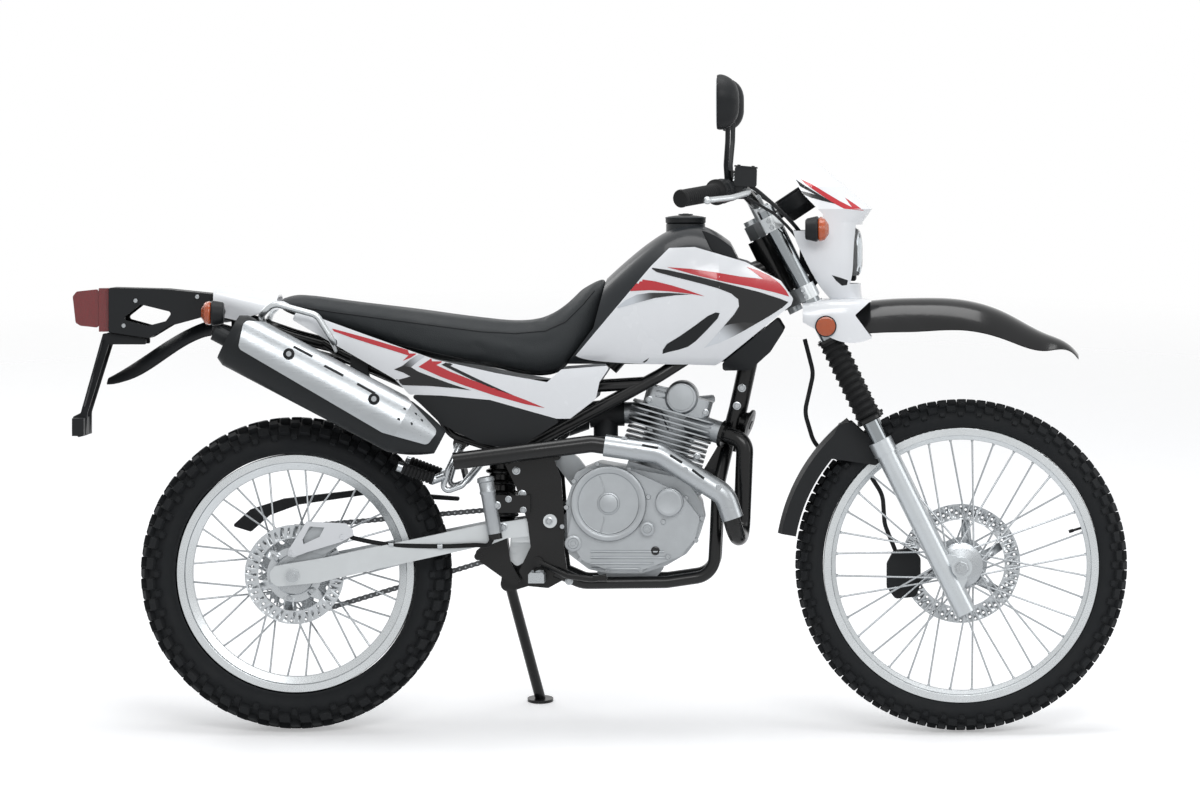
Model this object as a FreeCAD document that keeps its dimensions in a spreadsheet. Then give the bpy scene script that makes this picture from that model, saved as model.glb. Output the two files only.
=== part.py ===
import FreeCAD, Part
import math
import os

import Sketcher
from FreeCAD import Placement, Rotation, Vector

# A dual sport motorcycle, in millimetres. It is built upright with the rear axle at x = 0,
# x forward, y to its left and z up from the ground, and is then leaned onto its side stand.

doc = FreeCAD.newDocument("dual_sport_motorcycle")
sheet = doc.addObject("Spreadsheet::Sheet", "Sizes")

SIZES = {
    # stance
    "wheel_base": 1360,
    "rake_angle": 26.5,
    "lean_angle": 10,
    "fork_offset": 36.5,
    "axle_lead": 34,
    "fork_spread": 95,
    "pin_clear": 0.08,
    # wheels
    "front_radius": 340,
    "front_width": 80,
    "front_rim_radius": 281,
    "front_rim_depth": 25,
    "front_rim_width": 50,
    "rear_radius": 321,
    "rear_width": 122,
    "rear_rim_radius": 243.5,
    "rear_rim_depth": 32,
    "rear_rim_width": 66,
    "tyre_wall": 9,
    "rim_wall": 3,
    "spoke_count": 36,
    "spoke_radius": 1.9,
    "front_flange_radius": 44,
    "front_flange_offset": 31,
    "rear_flange_radius": 54,
    "rear_flange_offset": 36,
    "front_axle_radius": 8,
    "rear_axle_radius": 8.5,
    "front_disc_radius": 122,
    "rear_disc_radius": 101.5,
    "disc_thickness": 4,
    "front_disc_offset": 56,
    "rear_disc_offset": 62,
    # chain drive
    "chain_pitch": 12.7,
    "rear_teeth": 45,
    "front_teeth": 15,
    "chain_offset": 78,
    "chain_width": 17,
    "chain_height": 12,
    "sprocket_thickness": 6,
    "drive_shaft_x": 583,
    "drive_shaft_z": 434,
    # fork and steering
    "stanchion_radius": 17.5,
    "slider_radius": 21.5,
    "slider_top": 304,
    "slider_bottom": -88,
    "boot_bottom": 347,
    "boot_top": 533,
    "boot_radius": 26,
    "stanchion_top": 829,
    "front_crown": 42,
    "rear_crown": 72,
    "lower_clamp_mid": 640,
    "upper_clamp_mid": 797,
    "clamp_thickness": 30,
    "stem_radius": 15,
    "head_tube_radius": 27,
    "bar_radius": 11,
    "bar_half_width": 402,
    "grip_radius": 16.5,
    # frame
    "frame_tube_radius": 12.5,
    "engine_cross_radius": 10,
    "rail_radius": 11,
    "backbone_radius": 21,
    "plate_offset": 94,
    "plate_thickness": 8,
    "pivot_x": 524,
    "pivot_z": 433,
    "arm_height": 45,
    "arm_width": 22,
    # engine
    "case_width": 176,
    "clutch_cover_radius": 75,
    "cylinder_tilt": 15.7,
    "fin_length": 176,
    "fin_width": 150,
    "fin_thickness": 3,
    "fin_pitch": 10.5,
    "barrel_fins": 6,
    "barrel_radius": 50,
    # exhaust
    "header_radius": 17.5,
    "muffler_half_height": 57,
    "muffler_half_width": 47,
    "guard_thickness": 2,
    # shells
    "shell_wall": 4,
    "fender_wall": 3,
    "grab_bar_radius": 6.5,
    # side stand
    "stand_radius": 11,
    "stand_foot_radius": 27,
    "stand_foot_thickness": 6,
    "stand_eye_radius": 16,
    "stand_pin_radius": 6,
    # overall
    "tail_end": -454,
}

for row, (word, number) in enumerate(SIZES.items(), start=1):
    sheet.set("A%d" % row, word)
    sheet.set("B%d" % row, str(number))
    sheet.setAlias("B%d" % row, word)
doc.recompute()


def size(word):
    return float(sheet.get(word))


# Frames of reference


RAKE = math.radians(size("rake_angle"))
FORWARD = Vector(math.cos(RAKE), 0, math.sin(RAKE))
UPWARD = Vector(-math.sin(RAKE), 0, math.cos(RAKE))
LEFT = Vector(0, 1, 0)
REAR_AXLE = Vector(0, 0, size("rear_radius"))
FRONT_AXLE = Vector(size("wheel_base"), 0, size("front_radius"))
STEER_FOOT = FRONT_AXLE - FORWARD * (size("fork_offset") + size("axle_lead"))


def steer(ahead, left, up):
    """A point by its distances ahead of, left of and up along the steering axis."""
    return STEER_FOOT + FORWARD * ahead + LEFT * left + UPWARD * up


# Building blocks


def bind(item, name, value):
    """Ties a property to a cell of the sheet, or sets a plain number."""
    if isinstance(value, str):
        item.setExpression(name, "".join(
            "Sizes." + word if word in SIZES else word for word in value.split()))
    else:
        setattr(item, name, value)


def value_of(value):
    if isinstance(value, str):
        return size(value)
    return value


def aim(start, end):
    return Placement(start, Rotation(Vector(0, 0, 1), end - start))


def rod(name, start, end, radius):
    item = doc.addObject("Part::Cylinder", name)
    bind(item, "Radius", radius)
    item.Height = (end - start).Length
    item.Placement = aim(start, end)
    return item


def cone(name, start, end, radius1, radius2):
    item = doc.addObject("Part::Cone", name)
    bind(item, "Radius1", radius1)
    bind(item, "Radius2", radius2)
    item.Height = (end - start).Length
    item.Placement = aim(start, end)
    return item


def block(name, low, high, place=Placement()):
    item = doc.addObject("Part::Box", name)
    item.Length = high[0] - low[0]
    item.Width = high[1] - low[1]
    item.Height = high[2] - low[2]
    item.Placement = place.multiply(Placement(Vector(*low), Rotation()))
    return item


def fuse(name, parts, refine=True):
    item = doc.addObject("Part::MultiFuse", name)
    item.Shapes = parts
    item.Refine = refine
    return item


def cut(name, base, tools):
    """Takes the tools from the base one after another, the last cut bearing the name."""
    item = base
    for number, tool in enumerate(tools, start=1):
        last = number == len(tools)
        step = doc.addObject("Part::Cut", name if last else "%s_cut_%d" % (name, number))
        step.Base = item
        step.Tool = tool
        item = step
    return item


def common(name, parts):
    item = doc.addObject("Part::MultiCommon", name)
    item.Shapes = parts
    return item


def mirrored(name, part):
    """The same piece on the left-hand side."""
    item = doc.addObject("Part::Mirroring", name)
    item.Source = part
    item.Normal = LEFT
    item.Base = Vector(0, 0, 0)
    return item


def both_sides(name, part):
    return fuse(name, [part, mirrored(name + "_left", part)])


def bent_line(points, bend):
    """Straight runs joined by tangent arcs, each as large as its runs allow."""
    edges = []
    start = points[0]
    for before, corner, after in zip(points, points[1:], points[2:]):
        back = before - corner
        on = after - corner
        half_turn = (math.pi - back.getAngle(on)) / 2
        reach = min(bend * math.tan(half_turn), 0.45 * min(back.Length, on.Length))
        back.normalize()
        on.normalize()
        enter = corner + back * reach
        leave = corner + on * reach
        radius = reach / math.tan(half_turn)
        middle = back + on
        middle.normalize()
        top = corner + middle * (radius / math.cos(half_turn) - radius)
        edges.append(Part.LineSegment(start, enter).toShape())
        edges.append(Part.Arc(enter, top, leave).toShape())
        start = leave
    edges.append(Part.LineSegment(start, points[-1]).toShape())
    return edges


def tube(name, points, radius, bend):
    points = [Vector(*point) for point in points]
    edges = bent_line(points, bend)
    path = doc.addObject("Part::Feature", name + "_path")
    path.Shape = Part.Wire(edges)
    ring = doc.addObject("Part::Circle", name + "_ring")
    bind(ring, "Radius", radius)
    ring.Placement = aim(points[0], points[1])
    item = doc.addObject("Part::Sweep", name)
    item.Sections = [ring]
    item.Spine = (path, ["Edge%d" % (number + 1) for number in range(len(edges))])
    item.Solid = True
    return item


def origin_plane(body, role):
    for item in body.Origin.OriginFeatures:
        if item.Role == role:
            return item
    raise ValueError(role)


def drawn(body, role, edges, name):
    sketch = body.newObject("Sketcher::SketchObject", name)
    sketch.AttachmentSupport = (origin_plane(body, role), [""])
    sketch.MapMode = "FlatFace"
    sketch.addGeometry(edges, False)
    return sketch


def outline(points, corner=0):
    """A closed outline in the sketch's own plane, its corners rounded to one radius."""
    corners = [Vector(x, y, 0) for x, y in points]
    count = len(corners)
    pieces = []
    for index, point in enumerate(corners):
        before = corners[index - 1] - point
        after = corners[(index + 1) % count] - point
        reach = 0
        if corner:
            half_turn = (math.pi - before.getAngle(after)) / 2
            reach = min(corner * math.tan(half_turn), 0.42 * min(before.Length, after.Length))
        before.normalize()
        after.normalize()
        middle = before + after
        if reach < 0.05 or middle.Length < 0.02:
            pieces.append((point, None, point))
            continue
        radius = reach / math.tan(half_turn)
        middle.normalize()
        top = point + middle * (radius / math.cos(half_turn) - radius)
        pieces.append((point + before * reach, top, point + after * reach))
    edges = []
    for index, (enter, top, leave) in enumerate(pieces):
        if top is not None:
            edges.append(Part.Arc(enter, top, leave))
        edges.append(Part.LineSegment(leave, pieces[(index + 1) % count][0]))
    return edges


def circle(x, y, radius):
    return Part.Circle(Vector(x, y, 0), Vector(0, 0, 1), radius)


def side_plate(name, points, depth, middle=0.0, corner=0):
    """A plate or block with its outline drawn on the side view, from x and z."""
    body = doc.addObject("PartDesign::Body", name)
    sketch = drawn(body, "XZ_Plane", outline(points, corner), name + "_outline")
    pad = body.newObject("PartDesign::Pad", name + "_pad")
    pad.Profile = sketch
    pad.SideType = "Symmetric"
    bind(pad, "Length", depth)
    body.Placement = Placement(Vector(0, middle, 0), Rotation())
    return body


def flat_plate(name, points, depth, place, corner=0):
    """A plate drawn on its own x and y, which its placement then turns and moves."""
    body = doc.addObject("PartDesign::Body", name)
    sketch = drawn(body, "XY_Plane", outline(points, corner), name + "_outline")
    pad = body.newObject("PartDesign::Pad", name + "_pad")
    pad.Profile = sketch
    pad.SideType = "Symmetric"
    bind(pad, "Length", depth)
    body.Placement = place
    return body


def turned(name, points, centre, corner=0, angle=360.0, start=0.0):
    """A body turned about a line along y through its centre, drawn from y and radius."""
    body = doc.addObject("PartDesign::Body", name)
    sketch = drawn(body, "YZ_Plane", outline(points, corner), name + "_section")
    turn = body.newObject("PartDesign::Revolution", name + "_turn")
    turn.Profile = sketch
    turn.ReferenceAxis = (origin_plane(body, "Y_Axis"), [""])
    turn.Angle = angle
    body.Placement = Placement(centre, Rotation(LEFT, start))
    return body


def section(name, points, closed=True):
    """A smooth closed curve through the points."""
    curve = Part.BSplineCurve()
    curve.interpolate([Vector(*point) for point in points], PeriodicFlag=closed)
    item = doc.addObject("Part::Feature", name)
    item.Shape = Part.Wire([curve.toShape()])
    return item


def loft(name, sections):
    item = doc.addObject("Part::Loft", name)
    item.Sections = sections
    item.Solid = True
    return item


def rounded(half_width, low, high, fullness, count=10):
    """Points down the right-hand side of a rounded section, from its crown to its keel."""
    middle = (low + high) / 2
    half_height = (high - low) / 2
    points = []
    for step in range(count + 1):
        angle = math.pi * step / count
        side = math.sin(angle)
        rise = math.cos(angle)
        points.append((-half_width * abs(side) ** fullness,
                       middle + half_height * math.copysign(abs(rise) ** fullness, rise)))
    return points


def half_form(name, stations, inset=0.0, fullness=0.72):
    """The right-hand half of a loft along x, its stations being x, half width, low and high."""
    sections = []
    for number, (x, half_width, low, high) in enumerate(stations):
        points = [Vector(x, y, z) for y, z in rounded(
            half_width - inset, low + inset, high - inset, fullness)]
        points[0].y = points[-1].y = 0
        curve = Part.BSplineCurve()
        curve.interpolate(Points=points, InitialTangent=Vector(0, -1, 0),
                          FinalTangent=Vector(0, 1, 0))
        item = doc.addObject("Part::Feature", "%s_%d" % (name, number))
        item.Shape = Part.Wire([curve.toShape(),
                                Part.LineSegment(points[-1], points[0]).toShape()])
        sections.append(item)
    return loft(name, sections)


def band(name, number, points, wall, normal):
    """A closed strip of one thickness along an open curve, as a loft section."""
    inner = []
    for index, point in enumerate(points):
        before = points[max(index - 1, 0)]
        after = points[min(index + 1, len(points) - 1)]
        along = after - before
        along.normalize()
        inner.append(point + along.cross(normal) * wall)
    outside = Part.BSplineCurve()
    outside.interpolate(points)
    inside = Part.BSplineCurve()
    inside.interpolate(list(reversed(inner)))
    item = doc.addObject("Part::Feature", "%s_%d" % (name, number))
    item.Shape = Part.Wire([
        outside.toShape(),
        Part.LineSegment(points[-1], inner[-1]).toShape(),
        inside.toShape(),
        Part.LineSegment(inner[0], points[0]).toShape()])
    return item


def trough(name, stations, wall, flat=2.6):
    """A fender: arched strips along x, each given as x, half width, edge and crown height."""
    sections = []
    for number, (x, half_width, edge, crown) in enumerate(stations):
        points = []
        for step in range(-4, 5):
            share = step / 4
            points.append(Vector(
                x, half_width * share, crown - (crown - edge) * abs(share) ** flat))
        sections.append(band(name, number, points, wall, Vector(-1, 0, 0)))
    return loft(name, sections)


NODES = {}


def node(label, item):
    """Keeps a finished piece under the name that its file takes."""
    NODES[label] = item
    return item


# Wheels


def tyre(label, centre, prefix):
    """The carcass, open towards the rim, its beads between the rim's flanges."""
    radius = size(prefix + "_radius")
    half = size(prefix + "_width") / 2
    rim = size(prefix + "_rim_radius")
    bead = size(prefix + "_rim_width") / 2 - size("rim_wall") - 0.1
    wall = size("tyre_wall")
    rise = radius - rim
    tread = wall + 5
    crown = size(prefix + "_crown")
    outer = [(bead, rim - 12.9), (bead, rim + 2), (half - 3, rim + 0.38 * rise),
             (half, rim + 0.58 * rise)]
    for angle in (52, 32, 11):
        turn = math.radians(angle)
        outer.append((crown * math.sin(turn), radius - crown * (1 - math.cos(turn))))
    inner = [(half * 0.4, radius - tread), (half - tread, rim + 0.58 * rise),
             (half - 3 - wall, rim + 0.38 * rise), (bead - wall, rim + 4), (bead - wall, rim - 12.9)]
    right = [(-y, r) for y, r in reversed(outer)]
    right_inner = [(-y, r) for y, r in reversed(inner)]
    return node(label, turned(label, outer + right + right_inner + inner, centre, 9))


def rim(label, centre, prefix):
    radius = size(prefix + "_rim_radius")
    half = size(prefix + "_rim_width") / 2
    depth = size(prefix + "_rim_depth")
    wall = size("rim_wall")
    seat = radius - 13
    outer = [(half, seat - wall), (half, radius), (half - wall, radius), (half - wall, seat),
             (half * 0.45, seat), (half * 0.25, radius - depth + wall)]
    inner = [(half * 0.3, radius - depth), (half * 0.5, seat - wall)]
    left = [(-y, r) for y, r in reversed(outer)]
    left_inner = [(-y, r) for y, r in reversed(inner)]
    return node(label, turned(label, outer + left + left_inner + inner, centre, 1.5))


def spokes(label, centre, prefix, hub, rim_shape, lacing):
    """Crossed spokes from the hub's two flanges to the rim's well, fused with the hub."""
    count = int(size("spoke_count"))
    rim_reach = size(prefix + "_rim_radius") - size(prefix + "_rim_depth") + size("rim_wall") / 2
    flange = size(prefix + "_flange_radius") - 4
    offset = size(prefix + "_flange_offset")
    wires = []
    for number in range(count):
        angle = 2 * math.pi * (number + 0.5) / count
        side = 1 if number % 2 else -1
        lead = math.radians(lacing) * (1 if number // 2 % 2 else -1)
        inner = centre + Vector(flange * math.cos(angle + lead), side * offset,
                                flange * math.sin(angle + lead))
        outer = centre + Vector(rim_reach * math.cos(angle), side * 3,
                                rim_reach * math.sin(angle))
        wires.append(rod("%s_wire_%d" % (label, number), inner, outer, "spoke_radius"))
    return node(label, cut(label, fuse(label + "_laced", [hub] + wires), [rim_shape]))


def brake_disc(label, prefix, centre, bore, windows, inner, outer):
    """A drilled ring on the arms that its windows leave."""
    body = doc.addObject("PartDesign::Body", label)
    sketch = drawn(body, "XZ_Plane", [circle(0, 0, size(prefix + "_disc_radius")),
                                      circle(0, 0, bore)], label + "_ring")
    sketch.addConstraint(Sketcher.Constraint("Radius", 0, size(prefix + "_disc_radius")))
    sketch.setExpression("Constraints[0]", "Sizes." + prefix + "_disc_radius")
    pad = body.newObject("PartDesign::Pad", label + "_pad")
    pad.Profile = sketch
    pad.SideType = "Symmetric"
    bind(pad, "Length", "disc_thickness")
    half = math.pi / windows * 0.72
    points = []
    for radius, share in ((inner, 0.55), (outer, 1)):
        row = [(radius * math.cos(half * share * side), radius * math.sin(half * share * side))
               for side in (-1, 0, 1)]
        points += row if radius == inner else row[::-1]
    window = drawn(body, "XZ_Plane", outline(points, 4), label + "_window")
    pocket(body, window, label + "_windows", windows)
    for ring, (share, shift) in enumerate(((0.87, 0), (0.94, 0.5))):
        radius = size(prefix + "_disc_radius") * share
        turn = 2 * math.pi * shift / 24
        hole = drawn(body, "XZ_Plane", [circle(radius * math.cos(turn), radius * math.sin(turn),
                                               3)], "%s_hole_%d" % (label, ring))
        pocket(body, hole, "%s_holes_%d" % (label, ring), 24)
    body.Placement = Placement(centre, Rotation())
    return node(label, body)


def pocket(body, sketch, name, count):
    item = body.newObject("PartDesign::Pocket", name)
    item.Profile = sketch
    item.SideType = "Symmetric"
    item.Type = "ThroughAll"
    if count > 1:
        pattern = body.newObject("PartDesign::PolarPattern", name + "_round")
        pattern.Originals = [item]
        pattern.Axis = (origin_plane(body, "Y_Axis"), [""])
        pattern.Angle = 360
        pattern.Occurrences = count
        body.Tip = pattern
    return item


def pitch_radius(teeth):
    return size("chain_pitch") / (2 * math.sin(math.pi / teeth))


def sprocket_outline(teeth, tip, root):
    points = []
    for tooth in range(teeth):
        for shift, radius in ((-0.32, root), (-0.12, tip), (0.12, tip), (0.32, root)):
            angle = 2 * math.pi * (tooth + shift) / teeth
            points.append((radius * math.cos(angle), radius * math.sin(angle)))
    return outline(points)


def wheels():
    clear = size("pin_clear")
    bore = size("front_axle_radius") + clear
    flange = size("front_flange_radius")
    offset = size("front_flange_offset")
    disc_face = size("front_disc_offset") - size("disc_thickness") / 2
    tyre("front_tyre", FRONT_AXLE, "front")
    front_rim = rim("front_rim", FRONT_AXLE, "front")
    hub = turned("front_hub", [
        (-61, bore), (-61, 14), (-40, 15), (-36, flange - 8), (-offset - 3, flange),
        (-offset + 3, flange), (-offset + 8, 24), (offset - 8, 24), (offset - 3, flange),
        (offset + 3, flange), (offset + 6, 33), (disc_face, 33), (disc_face, 20), (61, 20),
        (61, bore)], FRONT_AXLE)
    spokes("front_spokes", FRONT_AXLE, "front", hub, front_rim, 34)
    brake_disc("front_disc", "front", FRONT_AXLE + LEFT * size("front_disc_offset"), 20, 6, 42, 84)

    bore = size("rear_axle_radius") + clear
    flange = size("rear_flange_radius")
    offset = size("rear_flange_offset")
    disc_face = size("rear_disc_offset") - size("disc_thickness") / 2
    drive_face = size("chain_offset") - size("sprocket_thickness") / 2
    tyre("rear_tyre", REAR_AXLE, "rear")
    rear_rim = rim("rear_rim", REAR_AXLE, "rear")
    hub = turned("rear_hub", [
        (-77, bore), (-77, 18), (-disc_face, 18), (-disc_face, 40), (-offset - 8, 40),
        (-offset - 3, flange), (-offset + 4, flange), (-offset + 9, 34), (offset - 9, 34),
        (offset - 4, flange), (offset + 4, flange), (offset + 8, 60), (drive_face, 60),
        (drive_face, 30), (86, 30), (86, bore)], REAR_AXLE)
    spokes("rear_spokes", REAR_AXLE, "rear", hub, rear_rim, 36)
    brake_disc("rear_disc", "rear", REAR_AXLE - LEFT * size("rear_disc_offset"), 18, 6, 44, 72)

    teeth = int(size("rear_teeth"))
    inside_chain = pitch_radius(teeth) - size("chain_height") / 2 - 1
    body = doc.addObject("PartDesign::Body", "rear_sprocket")
    sketch = drawn(body, "XZ_Plane", sprocket_outline(teeth, inside_chain, inside_chain - 6),
                   "sprocket_teeth")
    pad = body.newObject("PartDesign::Pad", "sprocket_pad")
    pad.Profile = sketch
    pad.SideType = "Symmetric"
    bind(pad, "Length", "sprocket_thickness")
    pocket(body, drawn(body, "XZ_Plane", [circle(0, 0, 30)], "sprocket_bore"), "sprocket_eye", 1)
    pocket(body, drawn(body, "XZ_Plane", [circle(70, 0, 6)], "sprocket_window"),
           "sprocket_windows", 12)
    body.Placement = Placement(REAR_AXLE + LEFT * size("chain_offset"), Rotation())
    node("rear_sprocket", body)


# Fork and steering


def fork_leg(name, start, end, radius):
    return rod(name, steer(size("fork_offset"), -size("fork_spread"), start),
               steer(size("fork_offset"), -size("fork_spread"), end), radius)


def fork():
    spread = size("fork_spread")
    offset = size("fork_offset")
    lead = size("axle_lead")
    axle = size("front_axle_radius")
    tubes = fork_leg("fork_tube", size("slider_top"), size("stanchion_top"), "stanchion_radius")
    node("fork_tubes", both_sides("fork_tubes", tubes))

    lower = fork_leg("slider_leg", size("slider_bottom"), size("slider_top"), "slider_radius")
    collar = fork_leg("slider_collar", size("slider_top") - 30, size("slider_top"), 24.5)
    boss = FRONT_AXLE - LEFT * spread
    lug = rod("axle_lug", boss - LEFT * 20, boss + LEFT * 20, 21)
    web = flat_plate("axle_web", [(-16, -70), (-16, 60), (lead, 26), (lead + 10, 0), (lead, -26)],
                     30, Placement(steer(offset, -spread, 0),
                                   Rotation(FORWARD, UPWARD, LEFT * -1, "XYZ")), 10)
    bore = rod("axle_bore", FRONT_AXLE - LEFT * (spread + 40), FRONT_AXLE, axle)
    seat = fork_leg("stanchion_seat", size("slider_top"), size("slider_top") + 5, 30)
    leg = cut("slider", fuse("slider_solid", [lower, collar, lug, web]), [bore, seat])
    node("fork_sliders", both_sides("fork_sliders", leg))

    length = size("boot_top") - size("boot_bottom")
    pleats = 11
    ridge = size("boot_radius")
    valley = ridge - 5.5
    inner = size("stanchion_radius")
    step = (length - 20) / pleats
    points = [(0, inner), (0, ridge - 1), (10, ridge - 1)]
    for pleat in range(pleats):
        points.append((10 + step * pleat + 1, valley))
        points.append((10 + step * (pleat + 0.5), ridge))
    points += [(length - 10, valley), (length - 9, ridge - 3), (length, ridge - 3),
               (length, inner)]
    boot = turned("fork_boot", points, Vector(0, 0, 0))
    boot.Placement = Placement(steer(offset, -spread, size("boot_bottom")),
                               Rotation(LEFT, UPWARD))
    boots = both_sides("fork_boots", boot)
    node("fork_boots", boots)

    span = LEFT * (spread + 27)
    rod_axle = rod("axle_rod", FRONT_AXLE - span, FRONT_AXLE + span, axle)
    inner_face = spread - 20.1
    spacers = [rod("axle_spacer_%d" % side, FRONT_AXLE + LEFT * (side * 61.6),
                   FRONT_AXLE + LEFT * (side * inner_face), 12) for side in (-1, 1)]
    heads = [rod("axle_head_%d" % side, FRONT_AXLE + LEFT * (side * (spread + 20)),
                 FRONT_AXLE + LEFT * (side * (spread + 28)), 13) for side in (-1, 1)]
    node("front_axle", fuse("front_axle", [rod_axle] + spacers + heads))


def clamp_plate(name, middle):
    """One triple clamp: two rings on the fork tubes joined through the stem's boss."""
    spread = size("fork_spread")
    offset = size("fork_offset")
    back = -20
    points = [(back, -16), (back, 16), (0, 60), (offset - 22, spread + 10),
              (offset, spread + 24), (offset + 22, spread + 10), (offset + 22, spread - 20),
              (24, 20), (24, -20), (offset + 22, -spread + 20), (offset + 22, -spread - 10),
              (offset, -spread - 24), (offset - 22, -spread - 10), (0, -60)]
    plate = flat_plate(name, points, "clamp_thickness",
                       Placement(steer(0, 0, middle), Rotation(FORWARD, LEFT, UPWARD, "XYZ")), 14)
    holes = [rod("%s_bore_%d" % (name, side), steer(offset, side * spread, middle - 40),
                 steer(offset, side * spread, middle + 40), "stanchion_radius")
             for side in (-1, 1)]
    return cut(name + "_bored", plate, holes)


def clamps():
    low = size("lower_clamp_mid")
    high = size("upper_clamp_mid")
    half = size("clamp_thickness") / 2
    lower = clamp_plate("lower_clamp", low)
    upper = clamp_plate("upper_clamp", high)
    stem = rod("steering_stem", steer(0, 0, low - half - 12), steer(0, 0, high + half + 8),
               "stem_radius")
    nut = rod("stem_nut", steer(0, 0, high + half), steer(0, 0, high + half + 10), 17)
    risers = [rod("bar_riser_%d" % side, steer(24, side * 38, high + half - 2),
                  steer(24, side * 38, BAR_CENTRE_UP + 16), 15) for side in (-1, 1)]
    node("triple_clamps", cut("triple_clamps", fuse(
        "clamps_solid", [lower, upper, stem, nut] + risers), [NODES["handlebar"]]))


BAR_CENTRE_UP = 846
GRIP_START = 285


def bar_points():
    return [(24, 0, BAR_CENTRE_UP), (24, 62, BAR_CENTRE_UP), (12, 125, 890),
            (-24, GRIP_START, 900), (-99, size("bar_half_width"), 922)]


def bar_point(distance):
    """A point of the right half of the bar, this far from its outer end, and its direction."""
    inner = steer(bar_points()[3][0], -GRIP_START, bar_points()[3][2])
    outer = steer(bar_points()[4][0], -size("bar_half_width"), bar_points()[4][2])
    along = inner - outer
    along.normalize()
    return outer + along * distance, along


def handlebar():
    right = [steer(a, -b, t) for a, b, t in bar_points()]
    left = [steer(a, b, t) for a, b, t in bar_points()]
    bar = tube("handlebar", left[:0:-1] + right[1:], "bar_radius", 70)
    node("handlebar", bar)

    end, along = bar_point(0)
    grip = rod("grip_sleeve", end - along * 4, end + along * 122, "grip_radius")
    flange = rod("grip_flange", end + along * 122, end + along * 127, 26)
    switch = rod("switch_housing", end + along * 127, end + along * 160, 23)
    perch = block("lever_perch", (-16, -14, -18), (34, 20, 16),
                  Placement(end + along * 168 + Vector(4, 0, 0), Rotation()))
    reservoir = side_plate("brake_reservoir", [(900, 1114), (945, 1112), (946, 1150), (902, 1154)],
                           44, -258, 5)
    reservoir_foot = block("reservoir_foot", (-14, -14, -22), (14, 14, 6),
                           Placement(Vector(900, -262, 1116), Rotation()))
    right_side = cut("right_controls", fuse("right_controls_solid", [
        grip, flange, switch, perch, reservoir, reservoir_foot]), [bar])
    left_side = cut("left_controls", mirrored("left_controls_solid", fuse(
        "left_controls_right", [
            rod("clutch_sleeve", end - along * 4, end + along * 122, "grip_radius"),
            rod("clutch_flange", end + along * 122, end + along * 127, 26),
            block("clutch_perch", (-16, -14, -18), (34, 20, 16),
                  Placement(end + along * 168 + Vector(4, 0, 0), Rotation())),
            rod("clutch_switches", end + along * 127, end + along * 168, 22)])), [bar])
    cables = []
    for name, reach, path in (
            ("brake_line", 4, [(918, -258, 1124), (948, -252, 1104), (984, -206, 1072),
                               (1006, -136, 1050), (1020, -94, 1034), (1046, -74, 1002)]),
            ("throttle_cable", 3, [(900, -250, 1102), (944, -222, 1080), (980, -186, 1058),
                                   (1004, -130, 1034), (1018, -92, 1018), (1040, -72, 986)]),
            ("clutch_cable", 3, [(918, 252, 1106), (950, 244, 1090), (984, 206, 1068),
                                 (1006, 136, 1046), (1020, 94, 1030), (1044, 74, 996)])):
        cables.append(tube(name, path, reach, 60))
    node("bar_controls", fuse("bar_controls", [right_side, left_side] + cables))

    lever_path = [end + along * 168 + Vector(26, 6, 0), end + along * 128 + Vector(66, -8, 0),
                  end + along * 66 + Vector(64, -6, -5), end + along * 4 + Vector(50, -2, -4)]
    lever = tube("lever", [(p.x, p.y, p.z) for p in lever_path], 6, 30)
    lever_tip = doc.addObject("Part::Sphere", "lever_tip")
    lever_tip.Radius = 8
    lever_tip.Placement = Placement(lever_path[-1], Rotation())
    lever_right = fuse("lever_right", [lever, lever_tip])
    node("levers", cut("levers", both_sides("levers_whole", lever_right),
                       [NODES["bar_controls"]]))


def mirrors():
    foot = Vector(886, -262, 1122)
    stalk = tube("mirror_stalk", [foot, (884, -278, 1156), (888, -316, 1205), (889, -332, 1262)],
                 5, 30)
    ring = [(-22, 0), (-20, 32), (0, 55), (16, 48), (23, 18), (17, -30), (2, -55), (-12, -50)]
    shell = loft("mirror_shell", [
        section("mirror_ring_%d" % x, [(x, -345 + y * 1.55 * share, 1282 + z * share)
                                       for y, z in ring])
        for x, share in ((867, 0.97), (872, 1), (884, 0.96), (898, 0.8), (908, 0.52), (911, 0.2))])
    pair = both_sides("mirror_pair", fuse("mirror", [stalk, shell]))
    node("mirrors", cut("mirrors", pair, [NODES["bar_controls"]]))


MUDGUARD_START = -80


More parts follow.
